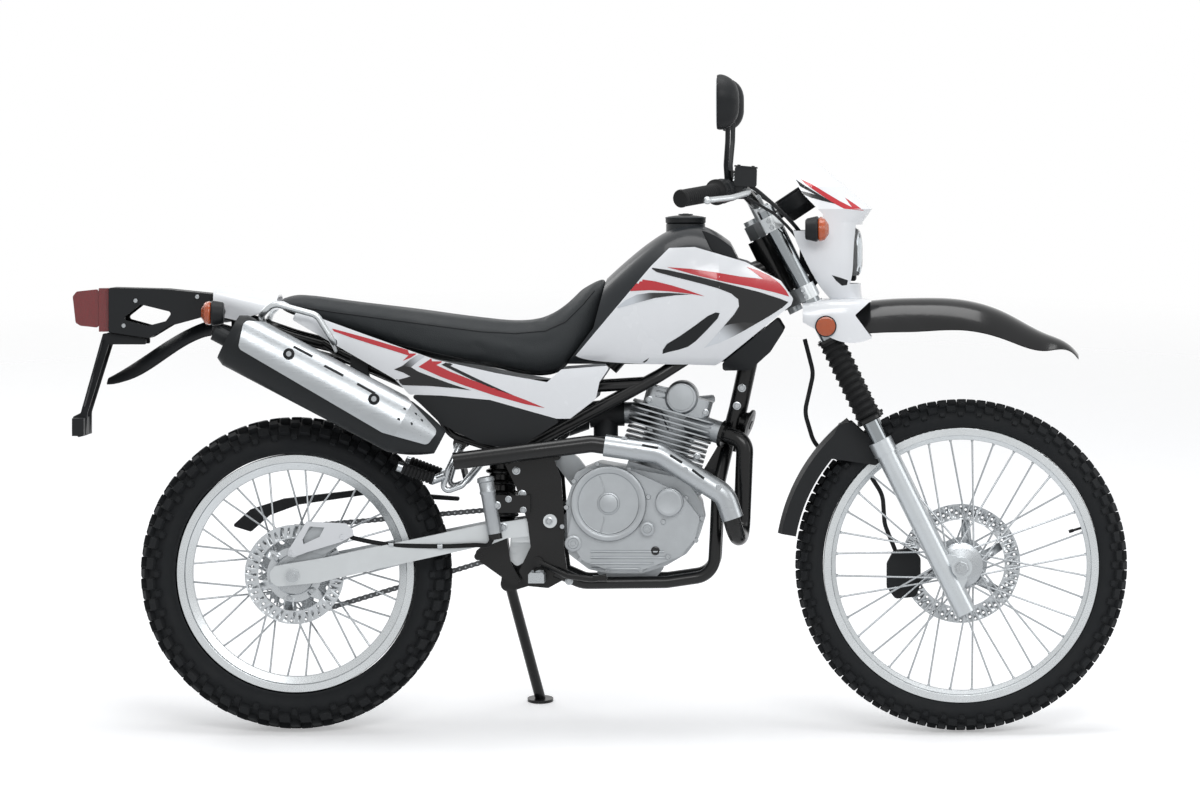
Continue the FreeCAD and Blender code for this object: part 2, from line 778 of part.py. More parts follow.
def cowl():
    """The headlight cowl, fender base, fenders and lamps that turn with the fork."""
    wall = size("shell_wall")
    face = [(882, 1095, 1155, 50), (915, 1068, 1151, 74), (950, 1048, 1150, 90),
            (985, 1031, 1150, 99), (1015, 1019, 1152, 104), (1040, 1014, 1155, 106)]
    brow = [(1040, 1014, 1155, 106), (1067, 1010, 1174, 104), (1112, 1008, 1121, 92),
            (1158, 1008, 1066, 62)]
    shells = []
    for name, stations, angular in (("cowl_face", face, False), ("cowl_brow", brow, True)):
        sections = []
        for number, (z, rear, front, half_width) in enumerate(stations):
            points = []
            for step in range(-4, 5):
                angle = math.pi / 2 * step / 4
                reach = math.cos(angle) ** 0.7 if abs(step) < 4 else 0
                points.append(Vector(
                    rear + (front - rear) * reach,
                    half_width * math.copysign(abs(math.sin(angle)) ** 0.8, step), z))
            sections.append(band(name + "_strip", number, points, wall, Vector(0, 0, 1)))
        shells.append(loft(name, sections))
        shells[-1].Ruled = angular
    window = side_plate("lamp_window", [(1100, 915), (1200, 915), (1200, 1035), (1100, 1035)],
                        124, 0, 12)
    notch = side_plate("cowl_notch", [
        (985, 1023), (1042, 1023), (1050, 1013), (1067, 1013), (1074, 1030), (1078, 1056),
        (1036, 1099), (1012, 1139), (1062, 1161), (985, 1180)], 260, 0, 1)
    node("headlight_cowl", cut("headlight_cowl", fuse("cowl_shell", shells), [window, notch]))

    lamp_body = turned("lamp_body", [(-58, 1), (-58, 30), (-30, 50), (58, 56), (58, 1)],
                       Vector(0, 0, 0), 6)
    lamp_body.Placement = Placement(Vector(1088, 0, 975), Rotation(LEFT, Vector(1, 0, 0)))
    foot = cut("lamp_foot", rod("lamp_foot_rod", steer(22, 0, 640), Vector(1080, 0, 950), 12),
               [NODES["triple_clamps"]])
    stay_arm = tube("lamp_stay_arm", [(1054, 0, 1004), (1058, -62, 1026), (1058, -110, 1026)],
                    6, 30)
    tab = cut("lamp_tab", block("lamp_tab_block", (1078, -89.5, 968), (1092, -50, 980)),
              [NODES["headlight_cowl"]])
    right = fuse("lamp_side", [tab, stay_arm])
    node("headlight", fuse("headlight", [lamp_body, foot, right,
                                         mirrored("lamp_side_left", right)]))

    gauge = turned("gauge_body", [(-24, 1), (-26, 34), (-8, 46), (24, 46), (24, 1)],
                   Vector(0, 0, 0), 5)
    gauge.Placement = Placement(Vector(1032, 0, 1082), Rotation(LEFT, Vector(-0.55, 0, 0.83)))
    gauge_foot = cut("gauge_foot", rod("gauge_arm", steer(40, 0, 806), Vector(1020, 0, 1074), 10),
                     [NODES["triple_clamps"]])
    node("instruments", fuse("instruments", [gauge, gauge_foot]))

    shape = ((0, 0), (0.6, 0), (0.93, 0.08), (1, 0.45), (0.985, 1))
    base = []
    for number, (x, low, high, half_width) in enumerate([
            (1037, 838, 873, 122), (1062, 824, 877, 124), (1095, 806, 880, 124),
            (1130, 796, 881, 119), (1160, 799, 880, 107), (1182, 806, 878, 94)]):
        points = [Vector(x, -half_width * out, high - (high - low) * drop)
                  for out, drop in shape[:0:-1]]
        points += [Vector(x, half_width * out, high - (high - low) * drop) for out, drop in shape]
        base.append(band("fender_base_strip", number, points, 3, Vector(-1, 0, 0)))
    base_shell = loft("fender_base_shell", base)
    reach = size("fork_offset")
    spread = size("fork_spread")
    bore = size("stanchion_radius") + 0.2
    legs = [rod("base_hole_%d" % side, steer(reach, side * spread, 500),
                steer(reach, side * spread, 700), bore) for side in (-1, 1)]
    collars = [rod("base_collar_%d" % side, steer(reach, side * spread, 586),
                   steer(reach, side * spread, 614), bore + 4) for side in (-1, 1)]
    front_edge = side_plate("fender_base_edge", [
        (1143, 852), (1174, 880), (1174, 900), (1200, 900), (1200, 800), (1181.5, 800)], 260, 0, 3)
    node("fender_base", cut("fender_base", fuse("fender_base_solid", [base_shell] + collars),
                            legs + [front_edge, NODES["fork_boots"], NODES["triple_clamps"],
                                    NODES["headlight_cowl"]]))

    stations = [(1138, 80, 812, 876.6), (1171, 79, 814, 876.6), (1210, 78, 816, 880),
                (1262, 78, 817, 882), (1365, 78, 820, 878), (1448, 72, 801, 853),
                (1531, 58, 778, 810), (1598, 34, 760, 768)]
    shell = trough("fender_shell", stations, size("fender_wall"))
    under_base = block("fender_top_room", (1100, -90, 876.7), (1176, 90, 900))
    seat_screw = rod("fender_screw", Vector(1156, 0, 868), Vector(1156, 0, 880), 7)
    node("front_fender", cut("front_fender", fuse("fender_solid", [
        cut("fender_trimmed", shell, [under_base]), seat_screw]),
        [NODES["fender_base"], NODES["headlight_cowl"]]))

    guard_in = size("front_radius") + 32
    guard = turned("mudguard_shell", [
        (-50, guard_in - 30), (-50, guard_in), (-28, guard_in + 8), (28, guard_in + 8),
        (50, guard_in), (50, guard_in - 30), (47, guard_in - 30), (47, guard_in - 3),
        (28, guard_in + 5), (-28, guard_in + 5), (-47, guard_in - 3), (-47, guard_in - 30)],
        FRONT_AXLE, 0, 42, MUDGUARD_START)
    flange = side_plate("mudguard_flange", [
        (1110, 628), (1136, 634), (1160, 612), (1212, 590), (1212, 566), (1185, 545), (1126, 554),
        (1080, 560)], 3, -48.5, 5)
    spacer = rod("mudguard_spacer", Vector(1199, -49, 576), Vector(1199, -70.2, 576), 8)
    fixing = fuse("mudguard_fixing", [flange, spacer])
    node("front_mudguard", fuse("front_mudguard", [guard, fixing,
                                                   mirrored("mudguard_fixing_left", fixing)]))

    signal = turned("signal_body", [(-14, 1), (-14, 20), (12, 26), (12, 1)], Vector(0, 0, 0), 4)
    signal.Placement = Placement(Vector(1056, -139, 1026), Rotation(LEFT, Vector(1, 0, 0)))
    stem = rod("signal_stem", Vector(1058, -110.1, 1026), Vector(1058, -127, 1026), 7)
    node("front_signals", both_sides("front_signals", fuse("front_signal", [signal, stem])))
    lens = turned("signal_lens", [(12, 1), (12, 25.5), (26, 22), (34, 10), (34, 1)],
                  Vector(0, 0, 0), 5)
    lens.Placement = Placement(Vector(1056, -139, 1026), Rotation(LEFT, Vector(1, 0, 0)))
    node("front_signal_lenses", both_sides("front_signal_lenses", lens))


def front_brake():
    disc = FRONT_AXLE + LEFT * size("front_disc_offset")
    gap = size("disc_thickness") / 2 + 1
    body = side_plate("caliper_body", [(1208, 292), (1226, 268), (1268, 272), (1278, 300),
                                       (1278, 350), (1262, 372), (1222, 366), (1208, 340)],
                      44, size("front_disc_offset") + 4, 10)
    slot = rod("caliper_slot", disc - LEFT * gap, disc + LEFT * gap,
               size("front_disc_radius") + 4)
    hose = tube("brake_hose", [(1040, 40, 800), (1058, 42, 730), (1040, 48, 650), (1062, 59, 575),
                               (1165, 62, 535), (1200, 63, 480), (1204, 63, 420), (1226, 62, 366)],
                4.5, 60)
    node("front_brake", fuse("front_brake", [cut("caliper", body, [slot]), hose]))


# Frame


def plate_pair(name, points, corner=8):
    plate = side_plate(name, points, "plate_thickness", -size("plate_offset"), corner)
    return [plate, mirrored(name + "_left", plate)]


PASSENGER_TABS = ((340, 590), (397, 570))
STAND_PIVOT = Vector(430, 118, 300)
STAND_WAY = Vector(0, 0.964, 0.267)
STAND_WAY.normalize()


def frame():
    radius = "frame_tube_radius"
    side = size("plate_offset")
    head_low = steer(0, 0, size("lower_clamp_mid") + size("clamp_thickness") / 2 + 2)
    head_high = steer(0, 0, size("upper_clamp_mid") - size("clamp_thickness") / 2 - 2)
    head = rod("head_tube", head_low, head_high, "head_tube_radius")
    bearing = rod("head_bore", head_low - UPWARD * 5, head_high + UPWARD * 5,
                  size("stem_radius") + 0.25)
    middle = (head_low + head_high) * 0.5
    backbone = tube("backbone", [middle, (845, 0, 905), (690, 0, 800), (640, 0, 745)],
                    "backbone_radius", 160)
    neck = tuple(head_low + UPWARD * 65 - FORWARD * 8)
    down = tube("down_tube", [neck, (905, 0, 660), (882, 0, 575)], 19, 200)
    parts = [head, backbone, down]
    cradle = tube("cradle", [(885, -14, 590), (864, -70, 500), (860, -80, 400), (856, -82, 322),
                             (760, -84, 308), (590, -88, 306), (534, -side, 330)], radius, 50)
    diagonal = tube("diagonal", [tuple(steer(-16, -14, 704)), (860, -62, 800), (743, -80, 726),
                                 (433, -side, 558)], radius, 120)
    rail = tube("seat_rail", [(715, -82, 711), (600, -74, 704), (424, -74, 708), (300, -75, 728),
                              (0, -68, 806), (-162, -58, 861)], "rail_radius", 300)
    strut = tube("rear_strut", [(452, -side, 566), (324, -side, 608), (268, -side, 692),
                                (90, -80, 776), (60, -72, 794)], 9, 40)
    for part in (cradle, diagonal, rail, strut):
        parts += [part, mirrored(part.Name + "_left", part)]
    parts += plate_pair("pivot_plate", [
        (425, 562), (520, 590), (546, 520), (552, 440), (552, 380), (560, 318), (520, 296),
        (478, 300), (460, 330), (484, 380), (478, 430), (455, 500)])
    for name, x, z, thick in (("pivot_cross", 500, 334, 11), ("tail_cross", -124, 858, 9),
                              ("engine_cross", 536, 566, size("engine_cross_radius")),
                              ("seat_cross", 424, 708, 9), ("rear_cross", 120, 792, 9)):
        reach = side - 2 if name in ("pivot_cross", "engine_cross") else 68
        parts.append(rod(name, Vector(x, -reach, z), Vector(x, reach, z), thick))
    shock_mount = block("shock_mount", (400, -28, 690), (452, 28, 722))
    stand_lug = side_plate("stand_lug", [(520, 400), (486, 400), (418, 318), (414, 288),
                                         (446, 282), (560, 318)], 8, side, 8)
    peg_bosses = [rod("peg_boss_%d" % way, Vector(503, way * side, 322),
                      Vector(503, way * (side + 16), 322), 15) for way in (-1, 1)]
    tabs = []
    for number, (x, z) in enumerate(PASSENGER_TABS):
        for way in (-1, 1):
            tabs.append(rod("passenger_tab_%d_%d" % (number, way),
                            Vector(x, way * (side - 4), z), Vector(x, way * (side + 4), z), 14))
    hanger = side_plate("engine_hanger", [(866, 588), (892, 566), (850, 500), (826, 508), (834, 534)],
                        5, -24, 4)
    parts += [shock_mount, stand_lug, hanger, mirrored("engine_hanger_left", hanger)]
    eye = size("stand_eye_radius")
    pin = size("stand_pin_radius")
    parts += [rod("stand_pad", STAND_PIVOT - STAND_WAY * 24, STAND_PIVOT - STAND_WAY * 12.5, eye),
              rod("stand_pin", STAND_PIVOT - STAND_WAY * 24, STAND_PIVOT + STAND_WAY * 15, pin),
              rod("stand_pin_head", STAND_PIVOT + STAND_WAY * 13.1, STAND_PIVOT + STAND_WAY * 17,
                  pin + 3)]
    parts += peg_bosses + tabs
    pivot = Vector(size("pivot_x"), 0, size("pivot_z"))
    pivot_bore = rod("frame_pivot_bore", pivot - LEFT * 110, pivot + LEFT * 110, 8)
    return node("frame", cut("frame", fuse("frame_solid", parts, False), [bearing, pivot_bore]))


def swingarm():
    pivot = Vector(size("pivot_x"), 0, size("pivot_z"))
    inside = size("plate_offset") - size("plate_thickness") / 2 - 0.2
    flare = math.degrees(math.atan2(30, size("pivot_x")))
    outline_points = [
        (24, 6), (-20, 8), (-146, -10), (-460, -75), (-490, -80), (-562, -92), (-572, -106),
        (-570, -124), (-556, -134), (-470, -126), (-440, -118), (-118, -47), (-90, -36), (-20, -30),
        (24, -22)]
    arm = side_plate("swing_beam", [(x, z) for x, z in outline_points], "arm_width", 0, 9)
    arm.Placement = Placement(pivot - LEFT * 74, Rotation(Vector(0, 0, 1), flare))
    spindle = rod("pivot_tube", pivot - LEFT * 60, pivot + LEFT * 60, 22)
    bushes = rod("pivot_bushes", pivot - LEFT * inside, pivot + LEFT * inside, 14)
    brace = block("swing_brace", (444, -72, 388), (486, 72, 424))
    axle_span = LEFT * 132
    axle = rod("rear_axle", REAR_AXLE - axle_span, REAR_AXLE + axle_span, "rear_axle_radius")
    nuts = [rod("axle_nut_%d" % side, REAR_AXLE + LEFT * (side * 116), REAR_AXLE +
                LEFT * (side * 130), 14) for side in (-1, 1)]
    spacers = [rod("rear_spacer_right", REAR_AXLE - LEFT * 77.6, REAR_AXLE - LEFT * 96, 14),
               rod("rear_spacer_left", REAR_AXLE + LEFT * 86.6, REAR_AXLE + LEFT * 96, 14)]
    bolt = rod("pivot_bolt", pivot - LEFT * 108, pivot + LEFT * 108, 7.95)
    heads = [rod("pivot_head_%d" % side, pivot + LEFT * (side * (size("plate_offset") + 4)),
                 pivot + LEFT * (side * 110), 14) for side in (-1, 1)]
    lug = side_plate("link_lug", [(470, 400), (492, 360), (452, 335), (436, 350), (440, 400)],
                     18, 0, 8)
    node("swingarm", fuse("swingarm", [arm, mirrored("swing_beam_left", arm), spindle, bushes, brace,
                                       axle, bolt, lug] + nuts + spacers + heads))


def suspension():
    top = Vector(426, 0, 676)
    low = Vector(420, 0, 400)
    along = low - top
    along.normalize()
    eye = rod("shock_eye", top - LEFT * 14, top + LEFT * 14, 13)
    body = rod("shock_body", top + along * 8, top + along * 130, 21)
    shaft = rod("shock_shaft", top + along * 120, low, 9)
    foot = rod("shock_foot", low - LEFT * 13, low + LEFT * 13, 13)
    coils = [(48, 1), (48, 26)]
    for turn in range(9):
        middle = 58 + turn * 22
        coils += [(middle - 6, 27), (middle - 3, 33.5), (middle, 35), (middle + 3, 33.5),
                  (middle + 6, 27)]
    spring = turned("spring", coils + [(246, 26), (246, 1)], Vector(0, 0, 0))
    spring.Placement = Placement(top, Rotation(LEFT, along))
    caps = [rod("spring_cap_%d" % number, top + along * start, top + along * (start + 7), 34)
            for number, start in enumerate((44, 243))]
    link = side_plate("link_rocker", [(366, 366), (378, 346), (448, 296), (462, 306),
                                      (440, 345), (432, 402), (412, 412), (404, 392)], 15, 22.5, 8)
    pins = [rod("link_pin_%d" % number, Vector(x, -32, z), Vector(x, 32, z), 8)
            for number, (x, z) in enumerate(((374, 357), (448, 306), (420, 400)))]
    node("rear_suspension", fuse("rear_suspension", [eye, body, shaft, foot, spring, link,
                                                     mirrored("link_rocker_right", link)]
                                 + caps + pins))


def side_stand():
    lean = math.radians(size("lean_angle"))
    ground = Vector(0, -math.sin(lean), math.cos(lean))
    foot_point = Vector(490, 245, 245 * math.tan(lean))
    thick = size("stand_foot_thickness")
    boss = rod("stand_eye", STAND_PIVOT - STAND_WAY * 12.2, STAND_PIVOT + STAND_WAY * 12.8,
               "stand_eye_radius")
    leg = rod("stand_leg", STAND_PIVOT, foot_point + ground * (thick - 1), "stand_radius")
    foot = rod("stand_foot", foot_point, foot_point + ground * thick, "stand_foot_radius")
    bore = rod("stand_bore", STAND_PIVOT - STAND_WAY * 40, STAND_PIVOT + STAND_WAY * 40,
               size("stand_pin_radius") + 0.2)
    node("side_stand", cut("side_stand", fuse("side_stand_solid", [boss, leg, foot]), [bore]))


# Engine


def chain_loop(extra, depth, name):
    """The chain's outline round both sprockets, grown by a clearance."""
    drive = Vector(size("drive_shaft_x"), 0, size("drive_shaft_z"))
    big = pitch_radius(size("rear_teeth"))
    small = pitch_radius(size("front_teeth"))
    reach = (drive - REAR_AXLE).Length
    slope = math.atan2(drive.z - REAR_AXLE.z, drive.x - REAR_AXLE.x)
    wrap = math.acos((big - small) / reach)
    radius = size("chain_height") / 2 + extra
    edges = []
    corners = []
    for centre, pitch, start, end in (
            (REAR_AXLE, big, slope + wrap, slope + 2 * math.pi - wrap),
            (drive, small, slope - wrap, slope + wrap)):
        for angle in (start, (start + end) / 2, end):
            corners.append(Vector(centre.x + (pitch + radius) * math.cos(angle),
                                  centre.z + (pitch + radius) * math.sin(angle), 0))
    edges.append(Part.Arc(*corners[:3]))
    edges.append(Part.LineSegment(corners[2], corners[3]))
    edges.append(Part.Arc(*corners[3:]))
    edges.append(Part.LineSegment(corners[5], corners[0]))
    body = doc.addObject("PartDesign::Body", name)
    sketch = drawn(body, "XZ_Plane", edges, name + "_loop")
    pad = body.newObject("PartDesign::Pad", name + "_pad")
    pad.Profile = sketch
    pad.SideType = "Symmetric"
    bind(pad, "Length", depth)
    body.Placement = Placement(LEFT * size("chain_offset"), Rotation())
    return body


def drive_chain():
    outer = chain_loop(0, "chain_width", "chain_outer")
    inner = chain_loop(-size("chain_height"), size("chain_width") + 2, "chain_inner")
    node("drive_chain", cut("drive_chain", outer, [inner]))
    guard = side_plate("chain_guard", [(-138, 414), (-100, 448), (-32, 470), (136, 490), (330, 474),
                                       (330, 466), (136, 478), (0, 458), (-60, 436), (-99, 402)],
                       26, size("chain_offset") + 4, 4)
    foot = cut("chain_guard_foot", block("chain_guard_lug", (236, 87.5, 380), (262, 92, 476)),
               [NODES["swingarm"]])
    node("chain_guard", fuse("chain_guard", [guard, foot]))


EXHAUST_ROOT = Vector(790, -26, 635)
EXHAUST_PORT = Vector(872, -51, 610)
EXHAUST_WAY = EXHAUST_PORT - EXHAUST_ROOT
EXHAUST_WAY.normalize()


def fin(name, upright, height, share):
    """One cooling fin: a plate with rounded corners round the barrel."""
    long = size("fin_length") / 2 * share
    wide = size("fin_width") / 2
    return flat_plate(name, [(-long, -wide), (-long, wide), (long, wide), (long, -wide)],
                      "fin_thickness",
                      upright.multiply(Placement(Vector(0, 0, height), Rotation())), 26)


def engine():
    case_half = size("case_width") / 2
    case = side_plate("case_block", [
        (576, 532), (622, 551), (685, 540), (800, 518), (831, 470), (837, 437), (825, 397),
        (801, 366), (760, 342), (711, 326), (641, 326), (602, 334), (560, 366), (556, 470)],
        "case_width", 0, 14)
    right = -case_half
    clutch = turned("clutch_cover", [
        (right - 30, 1), (right - 30, 18), (right - 27, 20), (right - 27, 61), (right - 30, 63),
        (right - 30, 69), (right - 25, size("clutch_cover_radius")),
        (right, size("clutch_cover_radius")), (right, 1)], Vector(643, 0, 469), 2)
    skirt = side_plate("clutch_side", [
        (572, 470), (600, 540), (690, 536), (790, 490), (829, 440), (818, 396), (790, 362),
        (712, 334), (640, 334), (590, 352), (560, 400)], 22, right - 8, 16)
    filter_cap = turned("filter_cap", [(right - 32, 1), (right - 32, 12), (right - 28, 28),
                                       (right - 18, 28.5), (right - 18, 1)], Vector(767, 0, 473), 2)
    filler = rod("oil_filler", Vector(724, right - 18, 420), Vector(724, right - 30, 420), 12)
    boss = rod("kick_boss", Vector(573, right - 1, 390), Vector(573, right - 20, 390), 15)
    stator = turned("stator_cover", [
        (case_half, 1), (case_half, 74), (case_half + 10, 72), (case_half + 26, 60),
        (case_half + 30, 40), (case_half + 30, 1)], Vector(716, 0, 430), 4)
    front_cover = side_plate("sprocket_cover", [
        (560, 470), (610, 490), (650, 470), (650, 390), (600, 374), (560, 392)], 22,
        case_half + 11, 12)
    sump = side_plate("sump_block", [(612, 330), (760, 342), (740, 318), (630, 314)], 110, 0, 6)
    mount = side_plate("engine_mount", [(548, 440), (572, 470), (572, 400), (552, 388)], 60, 0, 3)
    cross = Vector(536, 0, 566)
    rear_lug = cut("rear_lug", side_plate("rear_lug_plate", [
        (522, 558), (566, 500), (600, 530), (580, 556), (546, 584)], 40, 0, 4),
        [rod("rear_lug_bore", cross - LEFT * 30, cross + LEFT * 30,
             size("engine_cross_radius") + 0.2)])
    front_lug = side_plate("front_lug", [(800, 510), (826, 480), (848, 506), (840, 524), (816, 528)],
                           42.6, 0, 4)
    chain_space = chain_loop(5, size("chain_width") + 6, "chain_space")
    shaft = rod("drive_shaft", Vector(size("drive_shaft_x"), 60, size("drive_shaft_z")),
                Vector(size("drive_shaft_x"), 96, size("drive_shaft_z")), 22)
    solid = fuse("crankcase_solid", [case, skirt, clutch, filter_cap, filler, boss, stator,
                                     front_cover, sump, mount, rear_lug, front_lug])
    hollow = cut("crankcase_hollow", solid, [chain_space])
    node("crankcase", fuse("crankcase", [hollow, shaft]))

    tilt = math.radians(size("cylinder_tilt"))
    foot = Vector(738, 0, 519)
    axis = Vector(math.sin(tilt), 0, math.cos(tilt))
    upright = Placement(foot, Rotation(LEFT, size("cylinder_tilt")))
    pitch = size("fin_pitch")
    barrel_fins = int(size("barrel_fins"))
    split = 30 + pitch * barrel_fins
    top = split + pitch * 4.4
    barrel = rod("barrel", foot, foot + axis * split, "barrel_radius")
    cam_tunnel = block("cam_tunnel", (-30, 30, 6), (30, 72, split), upright)
    base = block("barrel_base", (-64, -62, 2), (64, 66, 18), upright)
    fins = [fin("barrel_fin_%d" % number, upright, 30 + pitch * (number + 0.4), 0.96)
            for number in range(barrel_fins)]
    node("cylinder", cut("cylinder", fuse("cylinder_solid", fins + [barrel, cam_tunnel, base]),
                         [case]))

    core = rod("head_core", foot + axis * split, foot + axis * (top + 2), 56)
    fins = [fin("head_fin_%d" % number, upright, split + pitch * (number + 0.4), 1)
            for number in range(5)]
    cover = flat_plate("head_block", [(-62, -52), (62, -52), (70, -34), (70, 40), (54, 58),
                                      (-54, 58), (-68, 40), (-68, -34)], 40,
                       upright.multiply(Placement(Vector(0, 0, top + 20), Rotation())), 14)
    cap = turned("cam_cap", [(-62, 1), (-62, 30), (-52, 34), (54, 34), (66, 30), (66, 1)],
                 foot + axis * (top + 30) + Vector(6, 0, 0), 3)
    port_in = rod("inlet_stub", Vector(740, 0, 650), Vector(672, 0, 650), 22)
    port_out = rod("exhaust_stub", EXHAUST_ROOT, EXHAUST_PORT, 23)
    plug = rod("spark_plug", Vector(800, 30, 672), Vector(850, 76, 676), 9)
    node("cylinder_head", fuse("cylinder_head", [core, cover, cap, port_in, port_out, plug]
                               + fins))

    throttle = tube("throttle_body", [(672, 0, 650), (640, 0, 650), (600, 0, 646)], 27, 20)
    bowl = rod("float_bowl", Vector(634, 0, 596), Vector(634, 0, 648), 25)
    bell = cone("inlet_boot", Vector(600, 0, 646), Vector(560, 0, 646), 30, 44)
    box = side_plate("air_box", [(562, 692), (562, 600), (520, 596), (470, 612), (464, 688),
                                 (500, 697)], 120, 0, 12)
    node("intake", fuse("intake", [throttle, bowl, bell, box]))


def exhaust():
    start = EXHAUST_PORT + EXHAUST_WAY * 0.1
    corner = start + EXHAUST_WAY * 52
    line = [tuple(start), tuple(corner), (912, -60, 402), (904, -130, 400), (880, -148, 488),
            (745, -152, 573), (610, -152, 592), (330, -160, 556)]
    pipe = tube("header_pipe", line, "header_radius", 44)
    flange = rod("header_flange", start, start + EXHAUST_WAY * 8, 28)
    node("exhaust_header", fuse("exhaust_header", [pipe, flange]))

    guard_line = [(896, -147, 440), (880, -148, 488), (745, -152, 573), (636, -152, 589)]
    cover = tube("header_cover", guard_line, size("header_radius") + 5, 44)
    core = tube("header_core", [(x, y, z) for x, y, z in line[3:]],
                size("header_radius") + 5 - size("guard_thickness"), 44)
    inside = block("header_cover_inside", (560, -149, 380), (940, -90, 640))
    tabs = [cut("header_tab_%d" % number, rod(
        "header_tab_rod_%d" % number, Vector(x, -152, z),
        Vector(x, -152 - size("header_radius") - 5, z), 6), [pipe])
        for number, (x, z) in enumerate(((700, 578), (800, 540)))]
    shell = cut("header_cover_shell", cover, [core, inside])
    node("header_guard", fuse("header_guard", [shell] + tabs))

    rear = Vector(-112, -158, 801)
    front = Vector(222, -158, 626)
    along = front - rear
    along.normalize()
    up = along.cross(LEFT) * -1
    half_height = size("muffler_half_height")
    half_width = size("muffler_half_width")

    def ring(name, centre, high, wide, count=12):
        points = []
        for step in range(count):
            angle = 2 * math.pi * step / count
            points.append(centre + LEFT * (wide * math.cos(angle)) + up * (high * math.sin(angle)))
        return section(name, points)

    body = loft("muffler_body", [ring("muffler_ring_0", rear, half_height, half_width),
                                 ring("muffler_ring_1", front, half_height, half_width)])
    neck = loft("muffler_neck", [
        ring("neck_ring_0", front, half_height, half_width),
        ring("neck_ring_1", front + along * 40 - up * 3, 46, 36),
        ring("neck_ring_2", front + along * 86 - up * 10, 26, 22)])
    cap = loft("muffler_cap", [ring("cap_ring_0", rear - along * 16, half_height * 0.86,
                                    half_width * 0.86),
                               ring("cap_ring_1", rear, half_height, half_width)])
    outlet = rod("outlet_pipe", rear - along * 46 + up * 6, rear - along * 10 + up * 6, 16)
    outlet_bore = rod("outlet_bore", rear - along * 47 + up * 6, rear - along * 14 + up * 6, 13.5)
    bracket = cut("muffler_bracket", side_plate(
        "muffler_tab", [(118, 712), (118, 770), (150, 760), (160, 706)], 34, -100, 4),
        [NODES["frame"]])
    node("muffler", cut("muffler", fuse("muffler_solid", [body, neck, cap, outlet, bracket]),
                        [outlet_bore, pipe]))

    thick = size("guard_thickness")
    neck_end = front + along * 72 - up * 6

    def sleeve(name, first, last):
        """A stretch of the guard between two oval rings, open inside."""
        skins = []
        for extra in (3 + thick, 3):
            skins.append(loft("%s_%d" % (name, extra), [
                ring("%s_ring_%d_%d" % (name, extra, number), centre, high + extra, wide + extra)
                for number, (centre, high, wide) in enumerate((first, last))]))
        return cut(name, skins[0], [skins[1]])

    shoulder = (front, half_height, half_width)
    shell = fuse("guard_shell", [
        sleeve("guard_rear", (rear - along * 4, half_height, half_width), shoulder),
        sleeve("guard_front", shoulder, (neck_end, 33, 29))])
    corners = [(-92, 842), (-9, 836), (205, 722), (300, 618), (279, 590), (188, 616), (-103, 786)]
    keep = side_plate("guard_keep", corners, 56, -192, 12)
    spots = [(0, 775), (172, 684)]
    studs = [cut("guard_stud_%d" % number, rod(
        "guard_stud_rod_%d" % number, Vector(x, -158, z),
        Vector(x, -158 - half_width - 4, z), 6), [body]) for number, (x, z) in enumerate(spots)]
    guard = common("guard_piece", [shell, keep])
    slots = [flat_plate("guard_slot_%d" % number, [(-26, -5), (-26, 5), (26, 5), (26, -5)], 80,
                        Placement(rear + along * (70 + 78 * number) + up * 40 - LEFT * 50,
                                  Rotation(along, up, LEFT * -1, "XYZ")), 4.5)
             for number in range(4)]
    node("muffler_guard", fuse("muffler_guard", [cut("guard_slotted", guard, slots)] + studs))


# Bodywork


TANK_FORM = [(548, 86, 724, 800), (600, 104, 724, 890), (660, 116, 724, 950),
             (720, 125, 724, 1000), (770, 130, 724, 1030), (850, 136, 726, 1029),
             (905, 139, 734, 990), (960, 140, 760, 950), (1024, 138, 800, 925)]


NOSE_FORM = [(868, 138, 726, 1021), (905, 141.5, 714, 1032), (950, 145, 690, 1034),
             (988, 146, 690, 1024), (1026, 146, 700, 1014)]


